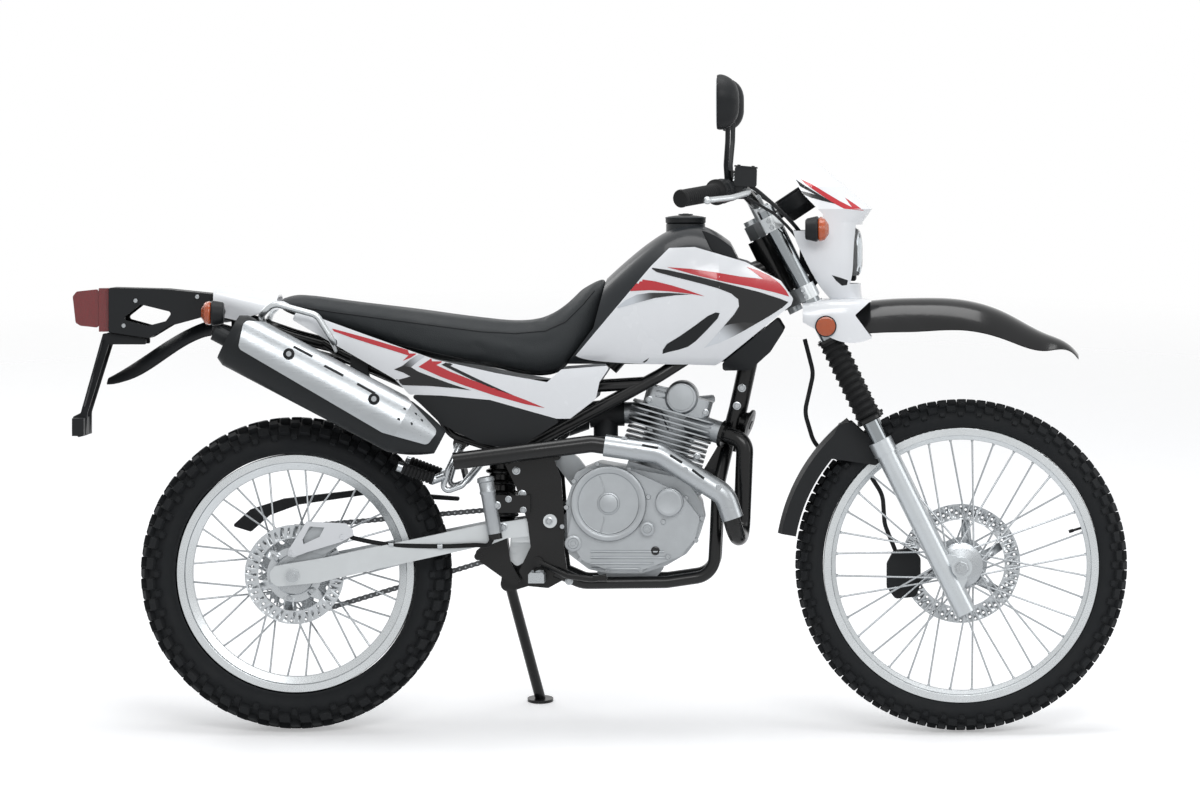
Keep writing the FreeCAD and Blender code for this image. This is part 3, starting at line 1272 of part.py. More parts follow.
def bodywork():
    wall = size("shell_wall")
    seat_line = [(640, 935), (612, 826), (548, 740), (500, 700), (1200, 700), (1200, 1100),
                 (640, 1100)]
    ahead = side_plate("tank_region", seat_line, 400)
    form = half_form("tank_skin", TANK_FORM)
    core = half_form("tank_core", TANK_FORM, wall + 0.2)
    inside = half_form("tank_inside", TANK_FORM, wall)
    shell = cut("cover_shell", form, [inside])
    nose = steer(-58, 0, 700)
    nose_cut = block("tank_nose_cut", (0, -300, -400), (600, 300, 600),
                     Placement(nose, Rotation(FORWARD, LEFT, UPWARD, "XYZ")))
    side_cuts = [block("tank_nose_side_%d" % number, (-40, low, -400), (30, high, 600),
                       Placement(nose, Rotation(FORWARD, LEFT, UPWARD, "XYZ")))
                 for number, (low, high) in enumerate(((-300, -66), (66, 300)))]
    tunnel = side_plate("tank_tunnel", [(480, 700), (480, 800), (640, 800), (690, 836),
                                        (845, 940), (1010, 1044), (1010, 700)],
                        2 * size("backbone_radius") + 14)
    below = block("tank_below", (400, -300, 600), (1200, 300, 752))
    arch = side_plate("tank_arch", [(700, 690), (700, 738), (860, 849), (1000, 990), (1000, 690)],
                      196)
    room = cut("tank_room", ahead, [below, nose_cut, arch, tunnel] + side_cuts)
    raw = common("tank_raw", [core, room])
    filler = rod("filler_neck", Vector(797, 0, 1010), Vector(797, 0, 1036), 40)
    tank = fuse("fuel_tank", [raw, mirrored("tank_left", raw), filler])
    node("fuel_tank", tank)
    cap = turned("fuel_cap", [(0, 1), (0, 38), (3, 41), (12, 41), (15, 36), (17, 22), (19, 1)],
                 Vector(0, 0, 0), 2)
    cap.Placement = Placement(Vector(797, 0, 1036), Rotation(LEFT, Vector(0, 0, 1)))
    node("fuel_cap", cap)

    keep = side_plate("cover_outline", [
        (568, 760), (728, 950), (766, 988), (818, 990), (921, 960), (993, 922), (1018, 886),
        (1014, 873), (868, 754), (838, 738), (700, 736), (690, 752)], 176, -184, 6)
    nose_shell = cut("nose_shell", half_form("nose_skin", NOSE_FORM),
                     [half_form("nose_inside", NOSE_FORM, wall)])
    rear_region = block("cover_rear_region", (400, -300, 600), (869.5, 0, 1100))
    cover_rear = common("cover_rear", [shell, keep, rear_region])
    cover_front = common("cover_front", [nose_shell, keep])
    node("tank_covers", both_sides("tank_covers", fuse("cover_piece", [cover_rear, cover_front],
                                                       False)))
    shroud = common("shroud_piece", [nose_shell, side_plate("shroud_outline", [
        (874, 738), (874, 754), (986, 845), (1000, 822), (972, 778), (930, 740)], 200, -172, 6)])

    seat_form = half_form("seat_form", [
        (-28, 78, 862, 888), (60, 90, 832, 881), (160, 104, 802, 868), (260, 114, 768, 856),
        (340, 114, 753, 845), (430, 106, 738, 835), (520, 94, 728, 846), (585, 78, 772, 896),
        (632, 52, 838, 926)], 0, 0.5)
    half = cut("seat_half", seat_form, [ahead])
    node("seat", fuse("seat", [half, mirrored("seat_left", half)]))
    return shroud


TAIL_FORM = [(-168, 78, 830, 907), (-100, 98, 800, 900), (0, 118, 730, 888), (120, 134, 640, 880),
             (240, 142, 540, 870), (360, 142, 480, 865), (470, 138, 470, 860), (650, 130, 560, 840)]


GRAB_LOOP = [(-62, -68, 834), (-62, -140, 852), (-36, -146, 876), (52, -146, 852),
             (84, -142, 800), (90, -74, 776)]
GRAB_BEND = 26


def side_bodywork():
    shroud = bodywork()
    wall = size("shell_wall")
    skin = half_form("tail_skin", TAIL_FORM, 0, 0.6)
    inside = half_form("tail_inside", TAIL_FORM, wall, 0.6)
    shell = cut("tail_shell", skin, [inside])
    cover = side_plate("side_cover_outline", [
        (10, 862), (292, 762), (418, 734), (519, 716), (548, 742), (648, 750), (625, 716),
        (618, 682), (566, 642), (538, 642), (404, 680), (305, 689), (240, 691), (210, 722),
        (0, 842)], 160, -170, 5)
    bar_room = tube("grab_room", GRAB_LOOP, size("grab_bar_radius") + 1.5, GRAB_BEND)
    cover_piece = cut("side_cover", common("side_cover_whole", [shell, cover]), [bar_room])
    node("side_covers", both_sides("side_covers", cover_piece))
    panel = side_plate("side_panel_outline", [
        (262, 672), (240, 690.7), (305, 688.7), (404, 679.7), (538, 641.7), (543, 635),
        (456, 579), (382, 592), (304, 631)], 160, -170, 5)
    panel_piece = common("side_panel", [shell, panel])
    node("side_panels", both_sides("side_panels", fuse("panel_right", [panel_piece, shroud])))

    tail = side_plate("tail_outline", [
        (-164, 920), (-34, 920), (-30, 884), (2, 869), (-60, 857), (-114, 840), (-164, 850)],
        240, 0, 4)
    stalk = rod("signal_hole", Vector(-146, -132, 858), Vector(-146, 0, 858), 8)
    seat_room = block("seat_room", (-33, -88, 845), (60, 1, 930))
    half = cut("tail_half", common("tail_piece", [shell, tail]), [stalk, seat_room, bar_room])
    node("tail_cover", fuse("tail_cover", [half, mirrored("tail_left", half)]))

    fender = trough("tail_fender", [(-168.3, 66, 808, 838), (-240, 64, 780, 808),
                                    (-330, 60, 722, 750), (-384, 50, 708, 718)][::-1], 3)
    node("rear_fender", fender)


def tail():
    rack = side_plate("rack_side", [
        (-377, 906), (-263, 903), (-166, 893), (-166, 852), (-255, 828), (-296, 803), (-376, 815)],
        10, -58, 8)
    gap = side_plate("rack_gap", [(-314, 872), (-249, 856), (-262, 838), (-300, 828), (-352, 842)],
                     20, -58, 5)
    plank = side_plate("rack_top", [(-377, 906), (-263, 903), (-166, 893), (-166, 886),
                                    (-263, 895), (-377, 898)], 126, 0, 2)
    back = block("rack_back", (-379, -63, 815), (-370, 63, 904))
    floor = side_plate("rack_floor", [(-376, 815), (-296, 803), (-296, 808), (-376, 821)], 126, 0)
    inner_fender = side_plate("inner_fender", [
        (-168, 826), (-60, 796), (110, 750), (250, 690), (322, 610), (346, 512), (352, 513),
        (329, 614), (256, 696), (113, 757), (-58, 803), (-165, 833)], 128, 0, 0)
    fender_lug = block("fender_lug", (-130, -38, 820), (-118, 38, 848.8))
    rack_side = cut("rack_side_open", rack, [gap])
    holes = [rod("rack_hole_%d" % number, Vector(x, y, 860), Vector(x, y, 930), 3.3)
             for number, (x, y) in enumerate(((-330, 42), (-330, -42), (-246, 42), (-246, -42)))]
    carrier = cut("tail_carrier", fuse("carrier_solid", [
        rack_side, mirrored("rack_side_left", rack_side), plank, back, floor, inner_fender,
        fender_lug]), holes)
    node("tail_carrier", carrier)

    lamp_base = block("lamp_base", (-400, -52, 816), (-379.2, 52, 905))
    lens = side_plate("lamp_lens", [(-400, 903), (-446, 898), (-454, 888), (-448, 834),
                                    (-438, 828), (-400, 824)], 96, 0, 6)
    node("tail_light", fuse("tail_light", [lamp_base, lens]))

    signal = turned("rear_signal_body", [(-14, 1), (-14, 22), (12, 26), (12, 1)],
                    Vector(0, 0, 0), 4)
    signal.Placement = Placement(Vector(-150, -152, 856), Rotation(LEFT, Vector(-1, 0, 0)))
    stalk = rod("rear_signal_stalk", Vector(-146, -132, 858), Vector(-146, -60, 858), 7.9)
    node("rear_signals", both_sides("rear_signals", cut("rear_signal", fuse(
        "rear_signal_solid", [signal, stalk]), [NODES["frame"]])))
    lens = turned("rear_signal_lens", [(12, 1), (12, 25.5), (24, 22), (32, 10), (32, 1)],
                  Vector(0, 0, 0), 5)
    lens.Placement = Placement(Vector(-150, -152, 856), Rotation(LEFT, Vector(-1, 0, 0)))
    node("rear_signal_lenses", both_sides("rear_signal_lenses", lens))

    arm = side_plate("plate_arm", [(-376, 814), (-392, 812), (-438, 650), (-454, 642),
                                   (-444, 600), (-427, 604), (-424, 650), (-380, 790),
                                   (-304, 790), (-304, 801), (-376, 812)], 10, -45, 3)
    panel = side_plate("plate_panel", [(-389, 800), (-392, 800), (-430, 664), (-427, 664)], 178, 0)
    reflector = block("plate_foot", (-452, -88, 604), (-428, 88, 640))
    way_through = Vector(-136, 0, 38)
    way_through.normalize()
    bolts = [rod("plate_hole_%d" % side, Vector(-408.66, side * 73, 735) - way_through * 25,
                 Vector(-408.66, side * 73, 735) + way_through * 25, 3) for side in (-1, 1)]
    bracket = cut("plate_bracket", fuse("plate_bracket_solid", [
        arm, mirrored("plate_arm_left", arm), panel, reflector]), bolts)
    node("plate_bracket", bracket)

    loop = tube("grab_loop", GRAB_LOOP, "grab_bar_radius", GRAB_BEND)
    node("grab_bars", both_sides("grab_bars", cut("grab_bar", loop, [NODES["frame"]])))


def controls():
    side = size("plate_offset")
    peg = block("peg_tread", (484, -216, 312), (516, -122, 330))
    hinge = rod("peg_hinge", Vector(503, -124, 322), Vector(503, -side - 16.1, 322), 12)
    rider = fuse("rider_peg", [peg, hinge])
    rear = tube("passenger_bracket", [(340, -side - 4, 588), (318, -120, 540), (303, -126, 490),
                                      (345, -122, 505), (396, -side - 4, 568)], 6, 16)
    rear_peg = rod("passenger_peg", Vector(292, -140, 518), Vector(216, -150, 546), 10)
    rear_strut = rod("passenger_strut", Vector(306, -126, 524), Vector(284, -144, 516), 9)
    right = cut("pegs_right", fuse("pegs_right_solid", [rider, rear, rear_peg, rear_strut]),
                [NODES["frame"]])
    node("footpegs", both_sides("footpegs", right))

    pedal = tube("brake_pedal", [(500, -108, 350), (560, -124, 322), (612, -134, 316),
                                 (640, -136, 322)], 6, 30)
    pedal_boss = rod("pedal_boss", Vector(500, -side - 4.2, 350), Vector(500, -side - 20, 350), 10)
    pad = block("brake_pad", (612, -150, 314), (640, -126, 324))
    shift = tube("shift_pedal", [(585, 108, 372), (620, 128, 352), (676, 132, 322)], 5, 30)
    shift_boss = rod("shift_shaft", Vector(585, 92, 372), Vector(585, 114, 372), 7)
    shift_pad = rod("shift_pad", Vector(676, 118, 322), Vector(676, 150, 322), 8)
    cylinder = rod("rear_master", Vector(392, -side - 22, 522), Vector(414, -side - 22, 396), 14)
    cylinder_lug = block("master_lug", (400, -side - 26, 450), (484, -side - 4.2, 486))
    node("foot_controls", fuse("foot_controls", [
        pedal, pedal_boss, pad, shift, shift_boss, shift_pad, cylinder, cylinder_lug]))

    disc = REAR_AXLE - LEFT * size("rear_disc_offset")
    gap = size("disc_thickness") / 2 + 1
    caliper = side_plate("rear_caliper_body", [(24, 372), (60, 362), (112, 392), (110, 424),
                                               (44, 424), (20, 400)], 38,
                         -size("rear_disc_offset") - 6, 8)
    slot = rod("rear_caliper_slot", disc - LEFT * gap, disc + LEFT * gap,
               size("rear_disc_radius") + 3)
    carrier = side_plate("caliper_carrier", [(-22, 330), (-22, 306), (14, 300), (70, 366),
                                             (112, 396), (90, 402), (30, 376)], 5, -81, 8)
    hole = rod("carrier_bore", REAR_AXLE - LEFT * 60, REAR_AXLE - LEFT * 100, 14)
    node("rear_caliper", cut("rear_caliper", fuse("rear_caliper_solid", [
        cut("rear_caliper_open", caliper, [slot]), carrier]), [hole]))


for build in (wheels, fork, handlebar, clamps, mirrors, cowl, front_brake, frame, swingarm,
              suspension, side_stand, drive_chain, engine, exhaust, side_bodywork, tail, controls):
    build()


# Leaning onto the stand


def lean_everything():
    """Tips the upright machine to its left and puts the origin under the middle of its box."""
    lean = math.radians(size("lean_angle"))
    tail_end = size("tail_end")
    bar_end = bar_points()[-1]
    middle_x = (FRONT_AXLE.x + size("front_radius") + tail_end) / 2
    middle_y = steer(bar_end[0], 0, bar_end[2]).z * math.sin(lean)
    turn = Placement(Vector(-middle_x, -middle_y, 0),
                     Rotation(Vector(1, 0, 0), -size("lean_angle")))
    leaned = {}
    for label, item in NODES.items():
        piece = doc.addObject("Part::Compound", label + "_leaned")
        piece.Links = [item]
        piece.Placement = turn
        piece.Label = label
        leaned[label] = piece
    return leaned


PIECES = lean_everything()
doc.recompute()

for item in doc.Objects:
    if "Invalid" in item.State or "Error" in item.State:
        raise RuntimeError("%s failed" % item.Name)
for label, item in PIECES.items():
    if item.Shape.isNull() or not item.Shape.isValid() or not item.Shape.Solids:
        raise RuntimeError("%s has no valid solid" % label)

os.makedirs("parts", exist_ok=True)
for label, item in PIECES.items():
    item.Shape.exportStep("parts/%s.step" % label)
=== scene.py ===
"""Looks of the dual sport motorcycle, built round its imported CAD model.

Places are in millimetres in the machine's own upright frame: X ahead, Y to its left, Z up. Each mesh
is leaned with the machine as it is finished, and is then in metres in the row frame.
"""

import math

import bmesh
import bpy
from mathutils import Matrix, Vector
from mathutils.bvhtree import BVHTree
from mathutils.geometry import delaunay_2d_cdt


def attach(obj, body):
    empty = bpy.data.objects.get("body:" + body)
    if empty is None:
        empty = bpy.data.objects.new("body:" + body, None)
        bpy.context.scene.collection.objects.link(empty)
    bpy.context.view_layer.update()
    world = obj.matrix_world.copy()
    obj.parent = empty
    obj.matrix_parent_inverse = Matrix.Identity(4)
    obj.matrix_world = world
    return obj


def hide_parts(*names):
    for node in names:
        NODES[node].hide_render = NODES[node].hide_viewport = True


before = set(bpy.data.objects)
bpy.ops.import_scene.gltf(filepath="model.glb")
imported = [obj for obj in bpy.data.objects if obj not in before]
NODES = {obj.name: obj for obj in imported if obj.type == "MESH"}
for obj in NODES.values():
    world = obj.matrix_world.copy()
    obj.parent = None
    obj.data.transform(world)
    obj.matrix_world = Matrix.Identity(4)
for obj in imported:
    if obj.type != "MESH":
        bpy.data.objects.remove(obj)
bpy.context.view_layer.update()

# The lean, and the leaned machine's middle on the floor, which becomes the origin
LEAN = math.radians(10)
BOX_MIDDLE = Vector((623.0, 189.1895, 0.0))
LEANED = (Matrix.Scale(0.001, 4) @ Matrix.Translation(-BOX_MIDDLE)
          @ Matrix.Rotation(-LEAN, 4, "X"))
UPRIGHT = LEANED.inverted()

# Directions, FORWARD and UPWARD being square to the steering axis and along it
RAKE = math.radians(26.5)
FORWARD = Vector((math.cos(RAKE), 0, math.sin(RAKE)))
UPWARD = Vector((-math.sin(RAKE), 0, math.cos(RAKE)))
LEFT = Vector((0, 1, 0))
SIDES = ((-1, "right"), (1, "left"))
RIGHT_OF_ALL = -400

# Wheels and chain
REAR_AXLE = Vector((0, 0, 321))
FRONT_AXLE = Vector((1360, 0, 340))
FRONT_RIM_RADIUS = 266
REAR_RIM_RADIUS = 229
SPOKES = 36
DISC_ARMS = 6
REAR_TEETH, DRIVE_TEETH = 45, 15
CHAIN_PITCH = 12.7
CHAIN_LEFT = 78
DRIVE_SHAFT = Vector((583, 0, 434))

# Fork and handlebar, as distances ahead of, left of and up along the steering axis
STEER_FOOT = FRONT_AXLE - FORWARD * 70.5
FORK_AHEAD = 36.5
FORK_SPREAD = 95
FORK_TOP = 829
FORK_FOOT = -88
CLAMP_HEIGHTS = (640, 797)
BOOT_ENDS = (349, 530)
GRIP_END = (-99, 402, 922)
GRIP_START = (-24, 285, 900)

# Centres of round parts
CLUTCH = Vector((643, -88, 469))
STATOR = Vector((716, 0, 430))
CAM_SHAFT = Vector((789, 0, 683))
GAUGE = Vector((1032, 0, 1082))
HEAD_LAMP = Vector((1146, 0, 975))
FUEL_CAP = Vector((797, 0, 1036))

# The photograph: millimetres in a pixel, the rear hub's pixel and height, the eye's pixel and distance
PIXEL = 2.0417
HUB_PX, HUB_PY = 295.3, 574.5
HUB_HEIGHT = 320
EYE_PX, EYE_PY = 858, 165
EYE_DISTANCE = 16000


def steer(ahead, left, up):
    """A point by its distances ahead of, left of and up along the steering axis."""
    return STEER_FOOT + FORWARD * ahead + LEFT * left + UPWARD * up


def photo_point(px, py, nearer):
    """The upright X and Z of a point of the photograph that lies this far to the right."""
    scale = 1 + nearer / EYE_DISTANCE
    px = EYE_PX + (px - EYE_PX) / scale
    py = EYE_PY + (py - EYE_PY) / scale
    return (px - HUB_PX) * PIXEL, HUB_HEIGHT + (HUB_PY - py) * PIXEL


def spoke_way(turn):
    """The way out from an axle at an angle from straight ahead."""
    return Vector((math.cos(turn), 0, math.sin(turn)))


# Camera, light and floor


def linear(code):
    """A hex colour as linear red, green, blue and 1."""
    parts = [int(code[place:place + 2], 16) / 255 for place in (0, 2, 4)]
    return [part / 12.92 if part < 0.04045 else ((part + 0.055) / 1.055) ** 2.4
            for part in parts] + [1.0]


def new_object(name, data):
    """An object of some data, linked to the scene."""
    made = bpy.data.objects.new(name, data)
    bpy.context.scene.collection.objects.link(made)
    return made


def new_material(name):
    """An empty node material, its tree and its output."""
    material = bpy.data.materials.new(name)
    material.use_nodes = True
    tree = material.node_tree
    tree.nodes.clear()
    output = tree.nodes.new("ShaderNodeOutputMaterial")
    return material, tree, output


def add_node(tree, kind, values=(), **settings):
    """A new node with some settings and plain socket values."""
    made = tree.nodes.new("ShaderNode" + kind)
    for word, value in settings.items():
        setattr(made, word, value)
    for socket, value in dict(values).items():
        made.inputs[socket].default_value = value
    return made


def mix_shaders(tree, factor, first, second):
    """Two shaders blended by a factor."""
    mix = add_node(tree, "MixShader")
    for socket, source in enumerate((factor, first.outputs[0], second.outputs[0])):
        tree.links.new(source, mix.inputs[socket])
    return mix


def bright_to_eye(tree):
    """A factor that is 1 for rays from the camera, off metal and through glass."""
    path = add_node(tree, "LightPath").outputs
    factor = path["Is Camera Ray"]
    for ray in ("Is Glossy Ray", "Is Transmission Ray"):
        either = add_node(tree, "Math", operation="MAXIMUM")
        tree.links.new(factor, either.inputs[0])
        tree.links.new(path[ray], either.inputs[1])
        factor = either.outputs[0]
    return factor


def stage_lights():
    """A white room for the eye, dimmer for the rest, and four soft lamps."""
    scene = bpy.context.scene
    scene.view_settings.view_transform = "Standard"
    world = bpy.data.worlds.new("studio")
    scene.world = world
    world.use_nodes = True
    tree = world.node_tree
    tree.nodes.clear()
    seen = add_node(tree, "Background", {"Color": (1, 1, 1, 1), "Strength": 1.0})
    dim = add_node(tree, "Background", {"Color": (0.92, 0.96, 1, 1), "Strength": 0.3})
    output = tree.nodes.new("ShaderNodeOutputWorld")
    tree.links.new(mix_shaders(tree, bright_to_eye(tree), dim, seen).outputs[0], output.inputs[0])

    for name, place, aim, wide, high, power in (
            ("key", (0.9, -3.4, 3.3), (0.1, 0, 0.6), 2.6, 1.2, 62),
            ("overhead", (0.0, 0.2, 4.2), (0, 0, 0), 3.6, 1.8, 92),
            ("rear_fill", (-2.6, 2.6, 2.2), (0, 0, 0.6), 2.0, 1.6, 26),
            ("front_fill", (3.4, -0.6, 1.7), (0.3, 0, 0.7), 1.6, 1.8, 16)):
        light = bpy.data.lights.new(name, "AREA")
        light.shape = "RECTANGLE"
        light.size = wide
        light.size_y = high
        light.energy = power
        lamp = new_object(name, light)
        lamp.location = place
        lamp.rotation_euler = (Vector(aim) - Vector(place)).to_track_quat("-Z", "Y").to_euler()


def stage_floor():
    """A pale floor that fades into the white background a few metres out."""
    mesh = bpy.data.meshes.new("floor")
    mesh.from_pydata([(-9, -9, 0), (9, -9, 0), (9, 9, 0), (-9, 9, 0)], [], [(0, 1, 2, 3)])
    floor = new_object("floor", mesh)
    floor.location.z = -0.0009
    material, tree, output = new_material("floor_paper")
    link = tree.links.new
    paper = add_node(tree, "BsdfPrincipled", {"Base Color": (0.86, 0.86, 0.87, 1),
                                              "Roughness": 0.75, "Emission Strength": 0.0})
    glow = add_node(tree, "Emission", {"Color": (1, 1, 1, 1), "Strength": 0.36})
    lit = add_node(tree, "AddShader")
    link(paper.outputs[0], lit.inputs[0])
    link(glow.outputs[0], lit.inputs[1])
    shown = mix_shaders(tree, bright_to_eye(tree), paper, lit)
    place = add_node(tree, "TexCoord")
    reach = add_node(tree, "VectorMath", operation="LENGTH")
    link(place.outputs["Object"], reach.inputs[0])
    fade = add_node(tree, "MapRange", {"From Min": 2.2, "From Max": 4.6})
    link(reach.outputs["Value"], fade.inputs["Value"])
    clear = add_node(tree, "BsdfTransparent")
    link(mix_shaders(tree, fade.outputs[0], shown, clear).outputs[0], output.inputs[0])
    mesh.materials.append(material)


def stage_camera():
    """The photograph's view: square to the leaned machine's right side, from 16 metres."""
    camera = bpy.data.cameras.new("camera")
    camera.sensor_width = 36
    camera.lens = 235
    camera.clip_end = 100
    view = new_object("camera", camera)
    place = Vector((1149, -EYE_DISTANCE, 1156))
    look = Vector((622, 0, 676)) - place
    right = look.cross(Vector((0, 0, 1))).normalized()
    upward = right.cross(look).normalized()
    turn = Matrix((right, upward, -look.normalized())).transposed()
    lean = Matrix.Rotation(-LEAN, 3, "X")
    view.matrix_world = Matrix.Translation(LEANED @ place) @ (lean @ turn).to_4x4()
    bpy.context.scene.camera = view


stage_lights()
stage_floor()
stage_camera()


# Materials


def shaded(name, values):
    """A material with one surface shader: itself, its tree, the shader and the place it is at."""
    material, tree, output = new_material(name)
    shader = add_node(tree, "BsdfPrincipled", values)
    tree.links.new(shader.outputs["BSDF"], output.inputs["Surface"])
    return material, tree, shader, add_node(tree, "TexCoord").outputs["Object"]


def ramp(tree, factor, first, second, shader):
    """Tints a shader between two colours by a factor."""
    tint = add_node(tree, "ValToRGB")
    tint.color_ramp.elements[0].color = first
    tint.color_ramp.elements[1].color = second
    tree.links.new(factor, tint.inputs["Fac"])
    tree.links.new(tint.outputs["Color"], shader.inputs["Base Color"])
    return tint.color_ramp.elements


def relief(tree, height, strength, depth, shader):
    """Roughens a shader's surface by a height."""
    bump = add_node(tree, "Bump", {"Strength": strength, "Distance": depth})
    tree.links.new(height, bump.inputs["Height"])
    tree.links.new(bump.outputs["Normal"], shader.inputs["Normal"])


def surface(name, colour, rough, metal=0.0, vary=0.06, blotch=9.0, grain=0.0, grain_size=0.001,
            stretch=(1, 1, 1), rough_vary=0.08, cells=False, **sockets):
    """A procedural finish: drifting colour and gloss, and a fine grain in relief.

    blotch is how many soft colour patches fit in a metre, grain the relief's strength and grain_size
    its width in metres; stretch draws the grain out along an axis, as brushing does.
    """
    material, tree, shader, place = shaded(name, {"Metallic": metal})
    link = tree.links.new
    for word, value in sockets.items():
        shader.inputs[word.replace("_", " ")].default_value = value
    soft = add_node(tree, "TexNoise", {"Scale": blotch, "Detail": 3.0, "Roughness": 0.6})
    link(place, soft.inputs["Vector"])
    base = linear(colour)[:3]
    low, high = ramp(tree, soft.outputs["Fac"], [part * (1 - vary) for part in base] + [1],
                     [min(1, part * (1 + vary)) for part in base] + [1], shader)
    low.position = 0.3
    high.position = 0.7
    frame_in = add_node(tree, "Mapping", {"Scale": stretch})
    link(place, frame_in.inputs["Vector"])
    if cells:
        fine = add_node(tree, "TexVoronoi", {"Scale": 1 / grain_size})
        height = fine.outputs["Distance"]
    else:
        fine = add_node(tree, "TexNoise", {"Scale": 1 / grain_size, "Detail": 2.0})
        height = fine.outputs["Fac"]
    link(frame_in.outputs["Vector"], fine.inputs["Vector"])
    gloss = add_node(tree, "MapRange", {"From Min": 0.3, "From Max": 0.7,
                                        "To Min": max(0.02, rough - rough_vary),
                                        "To Max": min(1.0, rough + rough_vary)})
    source = fine if metal and not cells else soft
    link(source.outputs["Fac"], gloss.inputs["Value"])
    link(gloss.outputs["Result"], shader.inputs["Roughness"])
    if grain:
        relief(tree, height, grain, grain_size * 0.5, shader)
    return material


def faded(name, first, second, start, end, nearer):
    """Gloss paint, or a painted shadow, that fades from one colour to another between two pixels."""
    material, tree, shader, place = shaded(name, {"Roughness": 0.2, "Coat Weight": 0.4})
    here, there = [LEANED @ Vector((x, -120, z))
                   for x, z in (photo_point(*start, nearer), photo_point(*end, nearer))]
    span = there - here
    span.y = 0
    along = add_node(tree, "VectorMath", {1: span / span.length_squared}, operation="DOT_PRODUCT")
    tree.links.new(place, along.inputs[0])
    offset = span.dot(here) / span.length_squared
    share = add_node(tree, "MapRange", {"From Min": offset, "From Max": offset + 1})
    share.interpolation_type = "SMOOTHSTEP"
    tree.links.new(along.outputs["Value"], share.inputs["Value"])
    ramp(tree, share.outputs["Result"], linear(first), linear(second), shader)
    return material


def ribbed_lens(name, colour, pitch):
    """A moulded lamp lens with fine upright ribs inside."""
    material, tree, shader, place = shaded(name, {"Roughness": 0.12, "Transmission Weight": 0.35,
                                                  "IOR": 1.49, "Coat Weight": 0.6})
    ribs = add_node(tree, "TexWave", {"Scale": 1 / pitch, "Distortion": 0.4, "Detail": 1.0})
    tree.links.new(place, ribs.inputs["Vector"])
    base = linear(colour)
    ramp(tree, ribs.outputs["Fac"], [part * 0.72 for part in base[:3]] + [1], base, shader)
    relief(tree, ribs.outputs["Fac"], 0.35, 0.0012, shader)
    return material


def dull(name, colour, rough, **finish):
    """A black or grey finish that mirrors the white studio less."""
    return surface(name, colour, rough, Specular_IOR_Level=0.22, **finish)


WHITE = surface("white_moulding", "eef0f3", 0.24, vary=0.015, grain=0.03, grain_size=0.02,
                rough_vary=0.05, Coat_Weight=0.35, Coat_Roughness=0.08)
BLACK_GLOSS = dull("black_gloss", "08090b", 0.2, vary=0.2, grain=0.03, grain_size=0.02,
                   rough_vary=0.06, Coat_Weight=0.4, Coat_Roughness=0.1)
BLACK_MOULD = dull("black_moulding", "1b1d1f", 0.5, vary=0.14, grain=0.35, grain_size=0.0009)
GREY_MOULD = dull("grey_moulding", "34383b", 0.46, vary=0.1, grain=0.35, grain_size=0.0009)
TANK_BLACK = dull("tank_black", "25282b", 0.34, vary=0.12, grain=0.1, grain_size=0.0012,
                  Coat_Weight=0.15)
FRAME_BLACK = dull("frame_black", "0b0c0d", 0.3, vary=0.2, grain=0.12, grain_size=0.004,
                   Coat_Weight=0.25)
RUBBER = dull("black_rubber", "141516", 0.66, vary=0.14, grain=0.3, grain_size=0.0016)
TYRE = dull("tyre_rubber", "1a1c1e", 0.72, vary=0.2, blotch=26, grain=0.45, grain_size=0.0022)
VINYL = dull("seat_vinyl", "2b2e30", 0.5, vary=0.08, grain=0.4, grain_size=0.0016, cells=True)
CAST = surface("cast_silver", "a2a6a9", 0.42, metal=0.85, vary=0.07, blotch=14, grain=0.4,
               grain_size=0.0014, rough_vary=0.1)
SATIN = surface("satin_aluminium", "bfc3c5", 0.36, metal=0.95, vary=0.05, grain=0.12,
                grain_size=0.0012, stretch=(0.06, 1, 1))
SLIDER = surface("silver_paint", "bcc1c4", 0.33, metal=0.75, vary=0.04, grain=0.1,
                 grain_size=0.0008, Coat_Weight=0.3)
RIM = surface("rim_aluminium", "c6cacc", 0.3, metal=0.95, vary=0.04, grain=0.08, grain_size=0.0015)
STEEL = surface("plated_steel", "a9adb0", 0.3, metal=1.0, vary=0.06, grain=0.06, grain_size=0.002)
TUBE_CHROME = surface("tube_chrome", "8e9396", 0.16, metal=1.0, vary=0.03, rough_vary=0.05)
CHROME = surface("chrome", "d9dcde", 0.12, metal=1.0, vary=0.03, rough_vary=0.05)
BRUSHED = surface("brushed_steel", "a2a6a9", 0.34, metal=1.0, vary=0.04, grain=0.03,
                  grain_size=0.0016, stretch=(0.05, 1, 0.5))
DISC_STEEL = surface("disc_steel", "b3b7ba", 0.32, metal=1.0, vary=0.08, grain=0.15,
                     grain_size=0.0012)
CHAIN_STEEL = surface("chain_steel", "5a5c5e", 0.38, metal=0.95, vary=0.18, blotch=60, grain=0.1,
                      grain_size=0.001)
HEAT_BLACK = dull("heat_black", "1d2022", 0.46, vary=0.2, blotch=20, grain=0.3, grain_size=0.0012)
RED_PAINT = surface("red_paint", "c01525", 0.2, vary=0.04, rough_vary=0.05, Coat_Weight=0.5,
                    Coat_Roughness=0.08)
BLACK_PAINT = dull("black_paint", "05070a", 0.2, vary=0.1, rough_vary=0.05, Coat_Weight=0.5,
                   Coat_Roughness=0.08)
RED_BUTTON = surface("red_button", "a81c1c", 0.4, vary=0.08, grain=0.1)
GREY_PRINT = surface("grey_print", "8f9599", 0.4, vary=0.05, grain=0.05)
DISPLAY = surface("display_grey", "8b968c", 0.22, vary=0.04, rough_vary=0.04, Coat_Weight=0.8)
MIRROR = surface("mirror_glass", "dfe4e8", 0.04, metal=1.0, vary=0.01, rough_vary=0.02)
REFLECTOR = surface("lamp_reflector", "e2e5e8", 0.12, metal=1.0, vary=0.02, rough_vary=0.04)
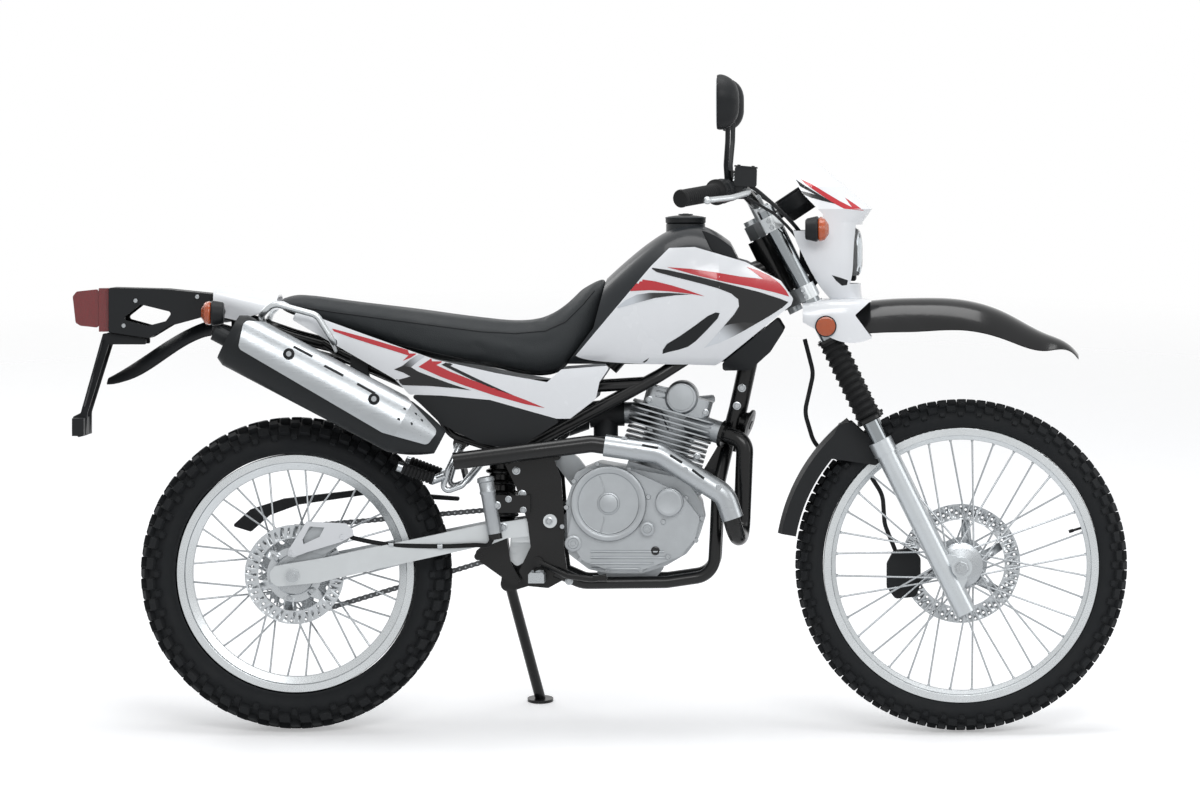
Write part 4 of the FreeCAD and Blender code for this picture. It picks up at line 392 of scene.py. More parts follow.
CLEAR = surface("clear_lens", "f2f6f8", 0.05, vary=0.01, rough_vary=0.02, Transmission_Weight=0.92,
                IOR=1.49)
ORANGE_LENS = ribbed_lens("orange_lens", "e8641c", 0.006)
RED_LENS = ribbed_lens("red_lens", "8e0a15", 0.008)


def paint_nodes():
    """Gives every CAD node that stays its finish."""
    for finish, names in (
        (SATIN, "triple_clamps levers swingarm grab_bars"),
        (TUBE_CHROME, "fork_tubes"),
        (RUBBER, "fork_boots"),
        (SLIDER, "fork_sliders"),
        (STEEL, "front_axle front_spokes rear_spokes rear_sprocket footpegs"),
        (FRAME_BLACK, "handlebar side_stand frame rear_suspension exhaust_header foot_controls"),
        (BLACK_MOULD, "bar_controls mirrors headlight instruments front_mudguard front_brake "
                      "front_signals intake fuel_cap side_panels rear_fender tail_carrier "
                      "plate_bracket rear_signals chain_guard"),
        (WHITE, "headlight_cowl fender_base tank_covers side_covers tail_cover"),
        (BLACK_GLOSS, "front_fender"),
        (ORANGE_LENS, "front_signal_lenses rear_signal_lenses"),
        (TYRE, "front_tyre rear_tyre"),
        (RIM, "front_rim rear_rim"),
        (DISC_STEEL, "front_disc rear_disc"),
        (CAST, "crankcase cylinder cylinder_head rear_caliper"),
        (BRUSHED, "header_guard muffler_guard"),
        (HEAT_BLACK, "muffler"),
        (TANK_BLACK, "fuel_tank"),
        (VINYL, "seat"),
        (RED_LENS, "tail_light"),
        (CHAIN_STEEL, "drive_chain")):
        for name in names.split():
            materials = NODES[name].data.materials
            materials.clear()
            materials.append(finish)


paint_nodes()


# Mesh building


def circle(centre, across, other, radius, sides):
    """Points round a circle that two directions span."""
    turns = (2 * math.pi * step / sides for step in range(sides))
    return [centre + (across * math.cos(turn) + other * math.sin(turn)) * radius for turn in turns]


class Maker:
    """Collects shapes in upright millimetres and turns them into one piece."""

    def __init__(self):
        self.mesh = bmesh.new()

    def patch(self, points, faces):
        """Adds points and the faces between them, which name points by number."""
        made = [self.mesh.verts.new(point) for point in points]
        for face in faces:
            self.mesh.faces.new([made[corner] for corner in face])

    def rings(self, rings, closed=False, capped=True):
        """Joins loops of equally many points, one after the other, with quads."""
        made = [[self.mesh.verts.new(point) for point in ring] for ring in rings]
        count = len(made[0])
        pairs = list(zip(made, made[1:]))
        if closed:
            pairs.append((made[-1], made[0]))
        for near, far in pairs:
            for place in range(count):
                after = (place + 1) % count
                self.mesh.faces.new((near[place], near[after], far[after], far[place]))
        if capped and not closed:
            self.mesh.faces.new(made[0][::-1])
            self.mesh.faces.new(made[-1])

    def lathe(self, base, axis, profile, sides=32, capped=True, closed=False):
        """Turns points of distance along the axis and radius round it."""
        base = Vector(base)
        axis = Vector(axis).normalized()
        across = axis.orthogonal().normalized()
        other = axis.cross(across)
        self.rings([circle(base + axis * along, across, other, radius, sides)
                    for along, radius in profile], closed, capped)

    def collar(self, base, axis, low, high, inner, outer, sides):
        """A square-edged ring between two distances along its axis."""
        self.lathe(base, axis, [(low, inner), (low, outer), (high, outer), (high, inner)], sides,
                   closed=True)

    def rod(self, start, end, radius, sides=20, edge=0.5):
        """A round bar with a small chamfer at both ends."""
        start = Vector(start)
        span = Vector(end) - start
        edge = min(edge, radius / 3, span.length / 3)
        self.lathe(start, span, [(0, radius - edge), (edge, radius), (span.length - edge, radius),
                                 (span.length, radius - edge)], sides)

    def tube(self, points, radius, sides=10, loose=True):
        """A round bar along a line of points, through a curve if it is loose."""
        line = smooth_line(points) if loose else [Vector(point) for point in points]
        ahead = (line[1] - line[0]).normalized()
        across = ahead.orthogonal().normalized()
        rings = []
        for place, point in enumerate(line):
            near = line[max(place - 1, 0)]
            far = line[min(place + 1, len(line) - 1)]
            ahead = (far - near).normalized()
            across = (across - ahead * across.dot(ahead)).normalized()
            other = ahead.cross(across)
            rings.append(circle(point, across, other, radius, sides))
        self.rings(rings)

    def box(self, low, high, turn=None):
        """A block between two corners, placed by a frame if one is given."""
        corners = [Vector((x, y, z)) for x in (low[0], high[0]) for y in (low[1], high[1])
                   for z in (low[2], high[2])]
        if turn:
            corners = [turn @ corner for corner in corners]
        self.patch(corners, [(0, 1, 3, 2), (4, 6, 7, 5), (0, 4, 5, 1), (2, 3, 7, 6),
                             (0, 2, 6, 4), (1, 5, 7, 3)])

    def bolt(self, place, way, size, head):
        """A hexagon bolt head, its washer seated at a place and facing a way."""
        self.lathe(place, way, [(-0.6, size * 1.35), (0.9, size * 1.35), (1.2, size * 1.25)], 18)
        self.lathe(place, way, [(0.7, size), (1 + head * 0.8, size), (1 + head, size * 0.86)], 6)

    def screw(self, place, way, size, head):
        """A round socket screw with a sunk hexagon."""
        self.lathe(place, way, [(-0.6, size), (head * 0.7, size), (head, size * 0.86),
                                (head, size * 0.5), (head * 0.4, size * 0.46)], 16)

    def mirror(self):
        """Adds the same again on the other side of the machine."""
        made = bmesh.ops.duplicate(self.mesh, geom=self.mesh.verts[:] + self.mesh.edges[:]
                                   + self.mesh.faces[:])["geom"]
        for item in made:
            if isinstance(item, bmesh.types.BMVert):
                item.co.y = -item.co.y
        faces = [item for item in made if isinstance(item, bmesh.types.BMFace)]
        bmesh.ops.reverse_faces(self.mesh, faces=faces)

    def piece(self, name, material, body="chassis", bevel=0.0, smooth=35, tidy=True):
        """Leans what was collected and hangs it on a body."""
        if bevel:
            sharp = [edge for edge in self.mesh.edges
                     if edge.is_manifold and edge.calc_face_angle(0) > 0.6]
            bmesh.ops.bevel(self.mesh, geom=sharp, offset=bevel, segments=2, affect="EDGES",
                            clamp_overlap=True)
        if tidy:
            bmesh.ops.recalc_face_normals(self.mesh, faces=self.mesh.faces)
        self.mesh.transform(LEANED)
        made = bpy.data.meshes.new(name)
        self.mesh.to_mesh(made)
        self.mesh.free()
        made.shade_smooth()
        made.set_sharp_from_angle(angle=math.radians(smooth))
        made.materials.append(material)
        thing = new_object(name, made)
        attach(thing, body)
        return thing


def smooth_line(points, steps=8):
    """A curve through the points, as a list of closer points."""
    line = [Vector(point) for point in points]
    line = [line[0] * 2 - line[1]] + line + [line[-1] * 2 - line[-2]]
    made = []
    for first, start, end, last in zip(line, line[1:], line[2:], line[3:]):
        for step in range(steps):
            share = step / steps
            made.append((start * 2 + (end - first) * share
                         + (first * 2 - start * 5 + end * 4 - last) * share ** 2
                         + (start * 3 - first - end * 3 + last) * share ** 3) / 2)
    made.append(line[-2])
    return made


def tree_of(*things):
    """A search tree of the surfaces of objects or named nodes, upright and in millimetres."""
    points = []
    faces = []
    for thing in things:
        mesh = (NODES[thing] if isinstance(thing, str) else thing).data
        start = len(points)
        points += [UPRIGHT @ vertex.co for vertex in mesh.vertices]
        faces += [[start + corner for corner in face.vertices] for face in mesh.polygons]
    return BVHTree.FromPolygons(points, faces)


def side_hit(tree, px, py, nearer):
    """The point of some surfaces that shows at a pixel, seen from the right, or a point in air."""
    x, z = photo_point(px, py, nearer)
    hit = tree.ray_cast(Vector((x, RIGHT_OF_ALL, z)), LEFT)[0]
    return hit or Vector((x, -nearer, z))


def hit_line(tree, first, last, steps, nearer, inward=0.0):
    """Points of some surfaces along a straight run of pixels, set in or out a little."""
    return [side_hit(tree, first[0] + (last[0] - first[0]) * step / steps,
                     first[1] + (last[1] - first[1]) * step / steps, nearer) + LEFT * inward
            for step in range(steps + 1)]


def fixings(name, shape, tree, pixels, nearer, size, head):
    """Steel bolt or screw heads seated on surfaces at pixels, facing right."""
    heads = Maker()
    for px, py in pixels:
        shape(heads, side_hit(tree, px, py, nearer), -LEFT, size, head)
    heads.piece(name, STEEL)


def facing(place, way, axis="X", upward="Z"):
    """A frame at a place with one axis turned to face a way."""
    return Matrix.Translation(place) @ way.to_track_quat(axis, upward).to_matrix().to_4x4()


def smoothing(thing, factor, times):
    """A modifier that evens out a mesh."""
    ease = thing.modifiers.new("ease", "SMOOTH")
    ease.factor = factor
    ease.iterations = times


def fix_mesh(thing):
    """Applies every modifier of an object to its mesh."""
    bpy.context.view_layer.update()
    graph = bpy.context.evaluated_depsgraph_get()
    done = bpy.data.meshes.new_from_object(thing.evaluated_get(graph))
    thing.modifiers.clear()
    thing.data = done


def inside(point, outline):
    """Whether a flat point lies inside a closed outline."""
    within = False
    for place, start in enumerate(outline):
        end = outline[place - 1]
        if (start.y > point.y) != (end.y > point.y):
            cross = (end.x - start.x) * (point.y - start.y) / (end.y - start.y) + start.x
            if point.x < cross:
                within = not within
    return within


def ring_plate(maker, outline, hole, low, high):
    """A plate between two Ys with a hole, both outlines as X, Z points."""
    edge = [Vector(point) for point in outline]
    gap = [Vector(point) for point in hole]
    rims = [(place, (place + 1) % len(edge)) for place in range(len(edge))]
    rims += [(len(edge) + place, len(edge) + (place + 1) % len(gap)) for place in range(len(gap))]
    found = delaunay_2d_cdt(edge + gap, rims, [], 0, 0.001)
    faces = []
    for face in found[2]:
        middle = sum((found[0][corner] for corner in face), Vector((0, 0))) / len(face)
        if inside(middle, edge) and not inside(middle, gap):
            faces.append(face)
    count = len(found[0])
    points = [(point.x, low, point.y) for point in found[0]]
    points += [(point.x, high, point.y) for point in found[0]]
    walls = [(a, b, b + count, a + count) for a, b in rims]
    maker.patch(points, [list(face) for face in faces]
                + [[corner + count for corner in face][::-1] for face in faces] + walls)


def decal(name, material, node, outline, nearer, body="chassis", lift=0.45, step=5.0):
    """A thin printed patch, or a patch of painted shade, laid on a node, alike on both sides of the
    machine.

    Its outline is in the photograph's pixels. step is the spacing of the mesh's points in
    millimetres, and lift how far the patch stands off.
    """
    tree = tree_of(node)
    edge = [Vector(photo_point(px, py, nearer)) for px, py in outline]
    dense = []
    for place, point in enumerate(edge):
        after = edge[(place + 1) % len(edge)]
        parts = max(1, int((after - point).length / step))
        dense += [point.lerp(after, part / parts) for part in range(parts)]
    low = Vector((min(p.x for p in dense), min(p.y for p in dense)))
    high = Vector((max(p.x for p in dense), max(p.y for p in dense)))
    inner = []
    for column in range(int((high.x - low.x) / step) + 1):
        for row in range(int((high.y - low.y) / step) + 1):
            point = Vector((low.x + (column + 0.5 * (row % 2)) * step, low.y + row * step))
            gap = min((point - other).length for other in dense)
            if gap > step * 0.4 and inside(point, dense):
                inner.append(point)
    rim = [(place, (place + 1) % len(dense)) for place in range(len(dense))]
    points, _, faces = delaunay_2d_cdt(dense + inner, rim, [list(range(len(dense)))], 1, 0.001)[:3]
    placed = []
    for point in points:
        hit = tree.ray_cast(Vector((point.x, RIGHT_OF_ALL, point.y)), LEFT)
        placed.append(hit[0] + Vector((0, -lift, 0)) if hit[0] else None)
    kept = [face for face in faces if all(placed[corner] for corner in face)]
    kept = [face for face in kept
            if max((placed[a] - placed[b]).length for a in face for b in face) < step * 6]
    maker = Maker()
    used = sorted({corner for face in kept for corner in face})
    order = {corner: place for place, corner in enumerate(used)}
    maker.patch([placed[corner] for corner in used],
                [[order[corner] for corner in face][::-1] for face in kept])
    maker.mirror()
    maker.piece(name, material, body, smooth=60, tidy=False)


# Wheels


def tyre(name, body, node, axle, profile, lug_rows, count, height):
    """A knobby tyre: a carcass turned from its section, and rows of tapered lugs.

    profile holds half of the carcass section as Y, radius points from the crown to the bead.
    Each row of lugs is (distance from the middle along the section, half width, half length,
    share of a pitch that it is set on by, turn).
    """
    maker = Maker()
    section = smooth_line([(y, radius, 0) for y, radius in profile], 4)
    half = [(point.x, point.y) for point in section]
    inner = [(y * 0.86, radius - 7 if radius > profile[-1][1] + 12 else radius)
             for y, radius in half[::-1]]
    whole = [(-y, radius) for y, radius in half[:0:-1]] + half + inner
    whole += [(-y, radius) for y, radius in inner[-2:0:-1]]
    maker.lathe(axle, LEFT, whole, 120, closed=True)
    lengths = [0.0]
    for first, second in zip(half, half[1:]):
        lengths.append(lengths[-1] + math.dist(first, second))

    def surface_at(turn, across):
        """The carcass point at a wheel angle and a distance along the section, and its normal."""
        reach = min(abs(across), lengths[-1] - 0.01)
        place = max(index for index, length in enumerate(lengths) if length <= reach)
        near, far = half[place], half[place + 1]
        share = (reach - lengths[place]) / (lengths[place + 1] - lengths[place])
        y = near[0] + (far[0] - near[0]) * share
        radius = near[1] + (far[1] - near[1]) * share
        run = Vector((far[0] - near[0], far[1] - near[1])).normalized()
        side = 1 if across >= 0 else -1
        out = spoke_way(turn)
        normal = LEFT * (-run.y * side) + out * run.x
        return axle + LEFT * (y * side) + out * radius, normal

    for across, half_wide, half_long, shift, slant in lug_rows:
        for number in range(count):
            middle = 2 * math.pi * (number + shift) / count
            for side in ((-1, 1) if across else (1,)):
                corners = []
                for lift, draw in ((-1.0, 1.0), (height - 0.8, 0.86), (height, 0.78)):
                    ring = []
                    for wide, long in ((-1, -1), (0, -1.06), (1, -1), (1.05, 0), (1, 1), (0, 1.06),
                                       (-1, 1), (-1.05, 0)):
                        along = long * half_long * draw + slant * wide * half_wide * side
                        spot, normal = surface_at(
                            middle + (0.5 / count * 2 * math.pi if side < 0 else 0)
                            + along / profile[0][1], side * (across + wide * half_wide * draw))
                        ring.append(spot + normal * lift)
                    corners.append(ring)
                maker.rings(corners)
    thing = maker.piece(name, TYRE, body, smooth=32)
    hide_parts(node)


def wheels():
    """Both tyres, and the spoke nipples and valve stems on their rims."""
    tyre("front_knobby_tyre", "front_wheel", "front_tyre", FRONT_AXLE,
         [(0, 330.5), (10, 329.5), (20, 326), (28, 319), (34, 309), (36, 299), (33, 288),
          (27, 282)],
         [(6, 5.5, 9, 0, 0.25), (20, 6.5, 8, 0.5, 0.2), (33.5, 6, 10.5, 0.05, 0.1),
          (44, 3.5, 6, 0.55, 0)], 52, 8.3)
    tyre("rear_knobby_tyre", "rear_wheel", "rear_tyre", REAR_AXLE,
         [(0, 309.8), (16, 308), (32, 302), (44, 293), (52, 281), (55, 268), (48, 253),
          (36, 245.5)],
         [(10, 8.5, 11, 0, 0.2), (30, 8, 10, 0.5, 0.15), (50, 8.5, 12.5, 0, 0.1),
          (65, 5, 7, 0.5, 0)], 44, 10)

    for wheel, axle, rim in (("front", FRONT_AXLE, FRONT_RIM_RADIUS),
                             ("rear", REAR_AXLE, REAR_RIM_RADIUS)):
        nipples = Maker()
        for number in range(SPOKES):
            out = spoke_way(2 * math.pi * (number + 0.5) / SPOKES)
            nipples.lathe(axle + out * (rim - 14), out,
                          [(0, 2.3), (3, 3.1), (13, 3.4), (17, 3.4)], 10)
        nipples.piece(wheel + "_spoke_nipples", STEEL, wheel + "_wheel")
        stem = Maker()
        out = spoke_way(0.3)
        stem.lathe(axle + out * (rim - 36), out,
                   [(0, 3.4), (9, 3.6), (10, 2.6), (26, 2.6), (27, 5.5), (38, 5.5)], 14)
        stem.piece(wheel + "_valve_stem", RUBBER, wheel + "_wheel")


def rotor(name, body, node, axle, offset, outer, inner, bore, rows):
    """A drilled brake disc on its spider.

    Each row of holes is (distance from the middle, number, radius, share of a pitch it is set on).
    """
    thick = 4.0
    half = 1.7
    side = 1 if offset > 0 else -1
    centre = axle + LEFT * offset
    plate = Maker()
    plate.collar(centre, LEFT, -thick / 2, thick / 2, inner, outer, 96)
    turns = [2 * math.pi * (number + 0.3) / DISC_ARMS for number in range(DISC_ARMS)]
    for turn in turns:
        out = spoke_way(turn)
        along = Vector((-math.sin(turn), 0, math.cos(turn)))
        arm = [centre + out * distance + along * (wide + (distance - bore) * 0.25)
               for distance, wide in ((bore - 3, -11), (inner + 4, -8), (inner + 4, 8),
                                      (bore - 3, 11))]
        plate.rings([[spot + LEFT * shift for spot in arm] for shift in (-half, half)])
    plate.collar(centre, LEFT, -half, half, bore - 14, bore, 64)
    whole = plate.piece(name, DISC_STEEL, body, smooth=30)

    drills = Maker()
    for radius, count, hole, shift in rows:
        for number in range(count):
            turn = 2 * math.pi * (number + shift) / count
            spot = centre + spoke_way(turn) * radius
            drills.rod(spot - LEFT * 4, spot + LEFT * 4, hole, 12, 0.01)
    cutter = drills.piece(name + "_drills", DISC_STEEL, body)
    modifier = whole.modifiers.new("holes", "BOOLEAN")
    modifier.operation = "DIFFERENCE"
    modifier.object = cutter
    modifier.solver = "EXACT"
    modifier.use_self = True
    fix_mesh(whole)
    bpy.data.objects.remove(cutter)
    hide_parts(node)

    bolts = Maker()
    for turn in turns:
        spot = centre + spoke_way(turn) * (bore - 7)
        bolts.bolt(spot + LEFT * side * 2, LEFT * side, 5.2, 4)
    bolts.piece(name + "_bolts", STEEL, body)


def brakes():
    """Both drilled brake discs."""
    rotor("front_rotor", "front_wheel", "front_disc", FRONT_AXLE, 56, 122, 90, 54,
          [(97, 24, 2.7, 0), (104, 24, 2.7, 0.33), (111, 24, 2.7, 0.66), (117, 24, 2.2, 0)])
    rotor("rear_rotor", "rear_wheel", "rear_disc", REAR_AXLE, -62, 101.5, 74, 56,
          [(80, 20, 2.6, 0), (87, 20, 2.6, 0.4), (94.5, 20, 2.4, 0.8)])


def chain_pins():
    """The chain's pins, evenly spaced round both sprockets."""
    big, small = [CHAIN_PITCH / (2 * math.sin(math.pi / teeth))
                  for teeth in (REAR_TEETH, DRIVE_TEETH)]
    span = DRIVE_SHAFT - REAR_AXLE
    slope = math.atan2(span.z, span.x)
    wrap = math.acos((big - small) / span.length)
    line = []
    for centre, radius, start, end in (
            (REAR_AXLE, big, slope + wrap, slope + 2 * math.pi - wrap),
            (DRIVE_SHAFT, small, slope - wrap, slope + wrap)):
        for step in range(49):
            turn = start + (end - start) * step / 48
            line.append(centre + spoke_way(turn) * radius)
    line.append(line[0])
    lengths = [0.0]
    for first, second in zip(line, line[1:]):
        lengths.append(lengths[-1] + (second - first).length)
    count = 2 * round(lengths[-1] / CHAIN_PITCH / 2)
    pins = []
    place = 0
    for number in range(count):
        reach = lengths[-1] * number / count
        while lengths[place + 1] < reach:
            place += 1
        share = (reach - lengths[place]) / max(lengths[place + 1] - lengths[place], 0.001)
        pins.append(line[place].lerp(line[place + 1], share) + LEFT * CHAIN_LEFT)
    return pins


def chain():
    """The roller chain, link by link, its inner and outer plates in turn."""
    pins = chain_pins()
    plates = Maker()
    rollers = Maker()
    eye = 5.4
    waist = 4.2
    thick = 1.6
    for number, pin in enumerate(pins):
        after = pins[(number + 1) % len(pins)]
        ahead = (after - pin).normalized()
        upward = ahead.cross(LEFT)
        outline = []
        for end, centre, first in ((1, after, -90), (-1, pin, 90)):
            for step in range(5):
                turn = math.radians(first + 45 * step)
                outline.append(centre + (ahead * math.cos(turn) + upward * math.sin(turn)) * eye)
            outline.append(pin.lerp(after, 0.5) + upward * waist * end)
        for low in ((-7.6, 6.0) if number % 2 else (-5.4, 3.8)):
            plates.rings([[spot + LEFT * reach for spot in outline] for reach in (low, low + thick)])
        rollers.rod(pin - LEFT * 8.2, pin + LEFT * 8.2, 2.0, 10, 0.2)
        rollers.rod(pin - LEFT * 3.6, pin + LEFT * 3.6, 3.9, 12, 0.2)
    whole = plates.piece("chain_plates", CHAIN_STEEL, smooth=30)
    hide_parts("drive_chain")
    rollers.piece("chain_rollers", STEEL)


# Bodywork


def tank_graphics():
    """The painted flashes, a painted shadow strip at the rear, the scoop and the slot of the tank
    covers.
    """
    decal("tank_black_sweep", BLACK_PAINT, "tank_covers", [
        (649.5, 267.3), (668, 269.8), (700, 276.8), (730, 284.2), (760, 291.8), (780, 298.2),
        (788.6, 301.8), (783, 307), (770, 315.5), (757, 323), (744, 322), (730, 324), (724, 326),
        (734, 314.5), (739.3, 306), (738.5, 299), (731, 293), (718, 288), (700, 283), (672, 276),
        (657, 272)], 118)
    decal("tank_fading_sweep",
          faded("sweep_fade", "05070a", "dfe3e8", (742, 322), (726, 342), 118), "tank_covers",
          [(757, 323), (745, 330), (733, 336.5), (720, 342.5), (704, 348), (712, 339.5), (724, 326),
           (730, 324), (744, 322)], 118)
    decal("tank_red_upper", RED_PAINT, "tank_covers", [
        (667, 267), (690, 268.6), (715, 272), (740, 276.2), (763, 278.7), (755, 272.5),
        (746.5, 266.5), (758, 270), (770, 275.5), (780, 283), (786, 290), (789.5, 296.2),
        (775, 292), (750, 286.3), (725, 281.6), (700, 276), (683, 271.2)], 118)
    decal("tank_red_rear", RED_PAINT, "tank_covers", [
        (640, 279), (655, 281), (672, 285.2), (688, 290), (705, 296), (690, 293.4), (670, 291.2),
        (650, 290), (630, 291)], 110)
    # painted shadow: a strip on the tank cover that fades from the cover's white to black
    decal("tank_rear_shadow",
          faded("rear_shadow_fade", "cfd4da", "05070a", (630, 298), (655, 294), 108), "tank_covers",
          [(615, 308.6), (626, 300), (637, 294.5), (650, 292.6), (670, 292.6), (692, 294),
           (676, 295), (655, 297.8), (638, 302.4), (624, 306.4)], 108)
    decal("tank_scoop", BLACK_MOULD, "tank_covers", [
        (662.5, 354), (662.8, 350), (667, 344), (680, 336), (695, 325.5), (708, 315.8),
        (716, 312.2), (720, 313), (718, 318), (708, 329), (696, 341), (688, 346.8),
        (678, 350), (669, 352)], 122, lift=0.5)
    decal("tank_slot", BLACK_MOULD, "tank_covers", [
        (636.6, 368.6), (640, 364), (649, 358), (647, 361), (640, 366.4)], 112, lift=0.5)


def side_graphics():
    """The painted flashes of the side covers."""
    decal("side_red_stripe", RED_PAINT, "side_covers", [
        (331, 328.8), (345, 332.4), (370, 339.2), (395, 346.6), (418, 353), (410, 358),
        (402.5, 361), (408, 355.6), (390, 350), (370, 344), (350, 337.6), (333, 331.6)], 135)
    decal("side_black_sweep", BLACK_PAINT, "side_covers", [
        (344, 351), (352, 354.4), (362, 361), (376, 370.4), (388, 377.6), (398, 380),
        (410, 376.6), (403, 372.8), (393.6, 369.6), (402, 366), (410.6, 367.4), (418, 371.8),
        (432, 377.2), (450, 383.8), (471, 390.6), (455, 388.4), (430, 386.2), (408, 385.6),
        (396, 384.8), (384, 378.6), (368, 367), (355, 358)], 138)
    decal("side_fading_chevron",
          faded("chevron_fade", "05070a", "cfd3d8", (404, 366), (421, 355), 138), "side_covers",
          [(402, 366), (410, 359.5), (418.6, 354.3), (424.5, 356.6), (417, 362), (410.6, 367.4)],
          138)
    decal("side_red_arrow", RED_PAINT, "side_covers", [
        (418, 367), (433, 357.2), (446, 360.2), (436, 365.2), (450, 371.8), (470, 379.6),
        (500, 390.6), (525, 400), (545, 408.4), (525, 404.4), (495, 396), (465, 386), (440, 376.8)],
        140)
    decal("side_black_arrow", BLACK_PAINT, "side_covers", [
        (441, 364.8), (450, 360.6), (457, 362), (450, 366), (463, 372.2), (480, 380.4),
        (500, 389.6), (513, 395.4), (495, 389.8), (470, 379), (452, 370.2)], 140)


def cowl_graphics():
    """The painted flashes and the slot of the headlight cowl."""
    decal("cowl_red_flash", RED_PAINT, "headlight_cowl", [
        (801, 179), (812, 184), (825, 192), (840, 201), (852, 207), (845, 197.4), (855, 204),
        (864, 210.6), (844, 208.4), (832, 202), (818, 192.6), (806, 184)], 70, "steering", 0.4, 4)
    decal("cowl_black_line", BLACK_PAINT, "headlight_cowl", [
        (796, 179.4), (804, 184.8), (814, 191), (824, 197), (835, 203.6), (822, 200.4),
        (810, 197), (803.6, 194), (801, 190.6), (810, 193), (816, 194.6), (800, 186)], 80,
        "steering", 0.4, 4)
    decal("cowl_slot", BLACK_MOULD, "headlight_cowl", [
        (832, 275), (840, 277.4), (848, 280.2), (847, 285), (842, 285.6), (836, 280.4)], 80,
        "steering", 0.45, 4)


def seat_cushion():
    """The padded seat, its vinyl swelled by pressure over the foam."""
    cushion = new_object("seat_cushion", NODES["seat"].data.copy())
    remesh = cushion.modifiers.new("even", "REMESH")
    remesh.mode = "VOXEL"
    remesh.voxel_size = 0.0065
    smoothing(cushion, 0.6, 6)
    fix_mesh(cushion)
    rest = [vertex.co.copy() for vertex in cushion.data.vertices]
    cloth = cushion.modifiers.new("cloth", "CLOTH")
    cloth.settings.use_pressure = True
    cloth.settings.uniform_pressure_force = 3.0
    cloth.settings.effector_weights.gravity = 0
    cloth.settings.tension_stiffness = 25
    cloth.settings.compression_stiffness = 25
    cloth.point_cache.frame_end = 14
    for number in range(1, 15):
        bpy.context.scene.frame_set(number)
    fix_mesh(cushion)
    bpy.context.scene.frame_set(1)
    for vertex, start in zip(cushion.data.vertices, rest):
        shift = vertex.co - start
        spot = UPRIGHT @ start
        free = max(0.0, min(1.0, (spot.z - seat_underside(spot.x)) / 45))
        reach = 0.0045 * free
        if shift.length > reach:
            shift *= reach / shift.length
        vertex.co = start + shift
    smoothing(cushion, 0.5, 3)
    rounder = cushion.modifiers.new("rounder", "SUBSURF")
    rounder.levels = 1
    rounder.render_levels = 1
    fix_mesh(cushion)
    cushion.data.shade_smooth()
    cushion.data.materials.clear()
    cushion.data.materials.append(VINYL)
    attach(cushion, "chassis")
    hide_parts("seat")

    seat_piping(tree_of(cushion))


def seat_piping(tree):
    """The two piped seams on each side of the cushion."""
    seam = Maker()
    for line in (((292, 306), (330, 312), (380, 318.5), (430, 325), (480, 331.5), (515, 333.5),
                  (545, 331), (565, 322), (582, 305), (596, 288)),
                 ((300, 322), (340, 331), (390, 343), (440, 354.5), (490, 365.5), (535, 374),
                  (552, 373), (566, 362))):
        spots = [spot for start, end in zip(line, line[1:])
                 for spot in hit_line(tree, start, end, 6, 100)[:-1]]
        spots = [spot for spot in spots if spot.y > -135 and abs(spot.y + 100) > 0.001]
        seam.tube(spots, 1.5, 8, loose=False)
    seam.mirror()
    seam.piece("seat_piping", BLACK_MOULD, smooth=60)


def seat_underside(x):
    """The height of the seat pan's lower edge at a place along the machine."""
    line = [(-28, 862), (60, 832), (160, 802), (260, 768), (340, 753), (430, 738), (520, 728),
            (585, 772), (640, 845)]
    for (near, low), (far, high) in zip(line, line[1:]):
        if x < far:
            return low + (high - low) * max(0.0, (x - near)) / (far - near)
    return line[-1][1]


# Steering


def bar_end(side):
    """The outer end of a handgrip, and the way along it towards the machine's middle."""
    outer, inner = [steer(ahead, side * left, up) for ahead, left, up in (GRIP_END, GRIP_START)]
    return outer, (inner - outer).normalized()


def handgrip(side, word):
    """A ribbed grip rubber with its flange."""
    end, along = bar_end(side)
    grip = Maker()
    profile = [(-4.6, 9), (-4.6, 16.6), (-2, 18.2), (1, 18.4), (5, 17.2)]
    for start in range(8, 112, 7):
        profile += [(start, 16.6), (start + 1, 17.5), (start + 4, 17.5), (start + 5, 16.6)]
    profile += [(116, 16.8), (120, 20), (122, 25), (122.6, 26.2), (127.4, 26.2), (127.4, 20)]
    grip.lathe(end, along, profile, 40)
    grip.piece(word + "_grip_rubber", RUBBER, "steering", smooth=50)


def switch_pod(side, word):
    """The switch pod inside a grip, with its screws and keys."""
    end, along = bar_end(side)
    pod = Maker()
    pod.lathe(end + along * 128, along, [(0, 20), (0.2, 23.4), (2, 24), (15, 24), (16, 23.4),
                                         (17, 24), (30, 24), (31.5, 23.2)], 36)
    across = along.orthogonal().normalized()
    for turn in (0.6, 3.6):
        out = across * math.cos(turn) + along.cross(across) * math.sin(turn)
        for reach in (136, 152):
            pod.screw(end + along * reach + out * 23.6, out, 3.2, 1.6)
    pod.piece(word + "_switch_pod", BLACK_MOULD, "steering", smooth=40)
    key = Maker()
    back = Vector((-1, 0, 0.25)).normalized()
    key.box((-1.5, -7, -4), (3, 7, 4), facing(end + along * 140 + back * 23, back))
    key.piece(word + "_switch_key", RED_BUTTON if side < 0 else GREY_PRINT, "steering", bevel=0.8)
    if side > 0:
        studs = Maker()
        for reach, lift in ((133, 9), (147, 9), (138, -10)):
            foot = end + along * reach + Vector((0, 0, lift))
            studs.rod(foot + back * 21, foot + back * 26, 3.6)
        studs.piece("left_switch_studs", GREY_PRINT, "steering")


def lever_bolts(side, word):
    """The pivot and clamp bolts of a lever."""
    end, along = bar_end(side)
    clamp = end + along * 168
    pins = Maker()
    for way in (1, -1):
        pins.bolt(clamp + Vector((26, side * -6, 8 * way)), (0, 0, way), 4.4, 3)
    for lift in (10, -10):
        pins.bolt(clamp + Vector((-14, 0, lift)), (-1, 0, 0), 3.6, 3)
    pins.piece(word + "_lever_bolts", STEEL, "steering")


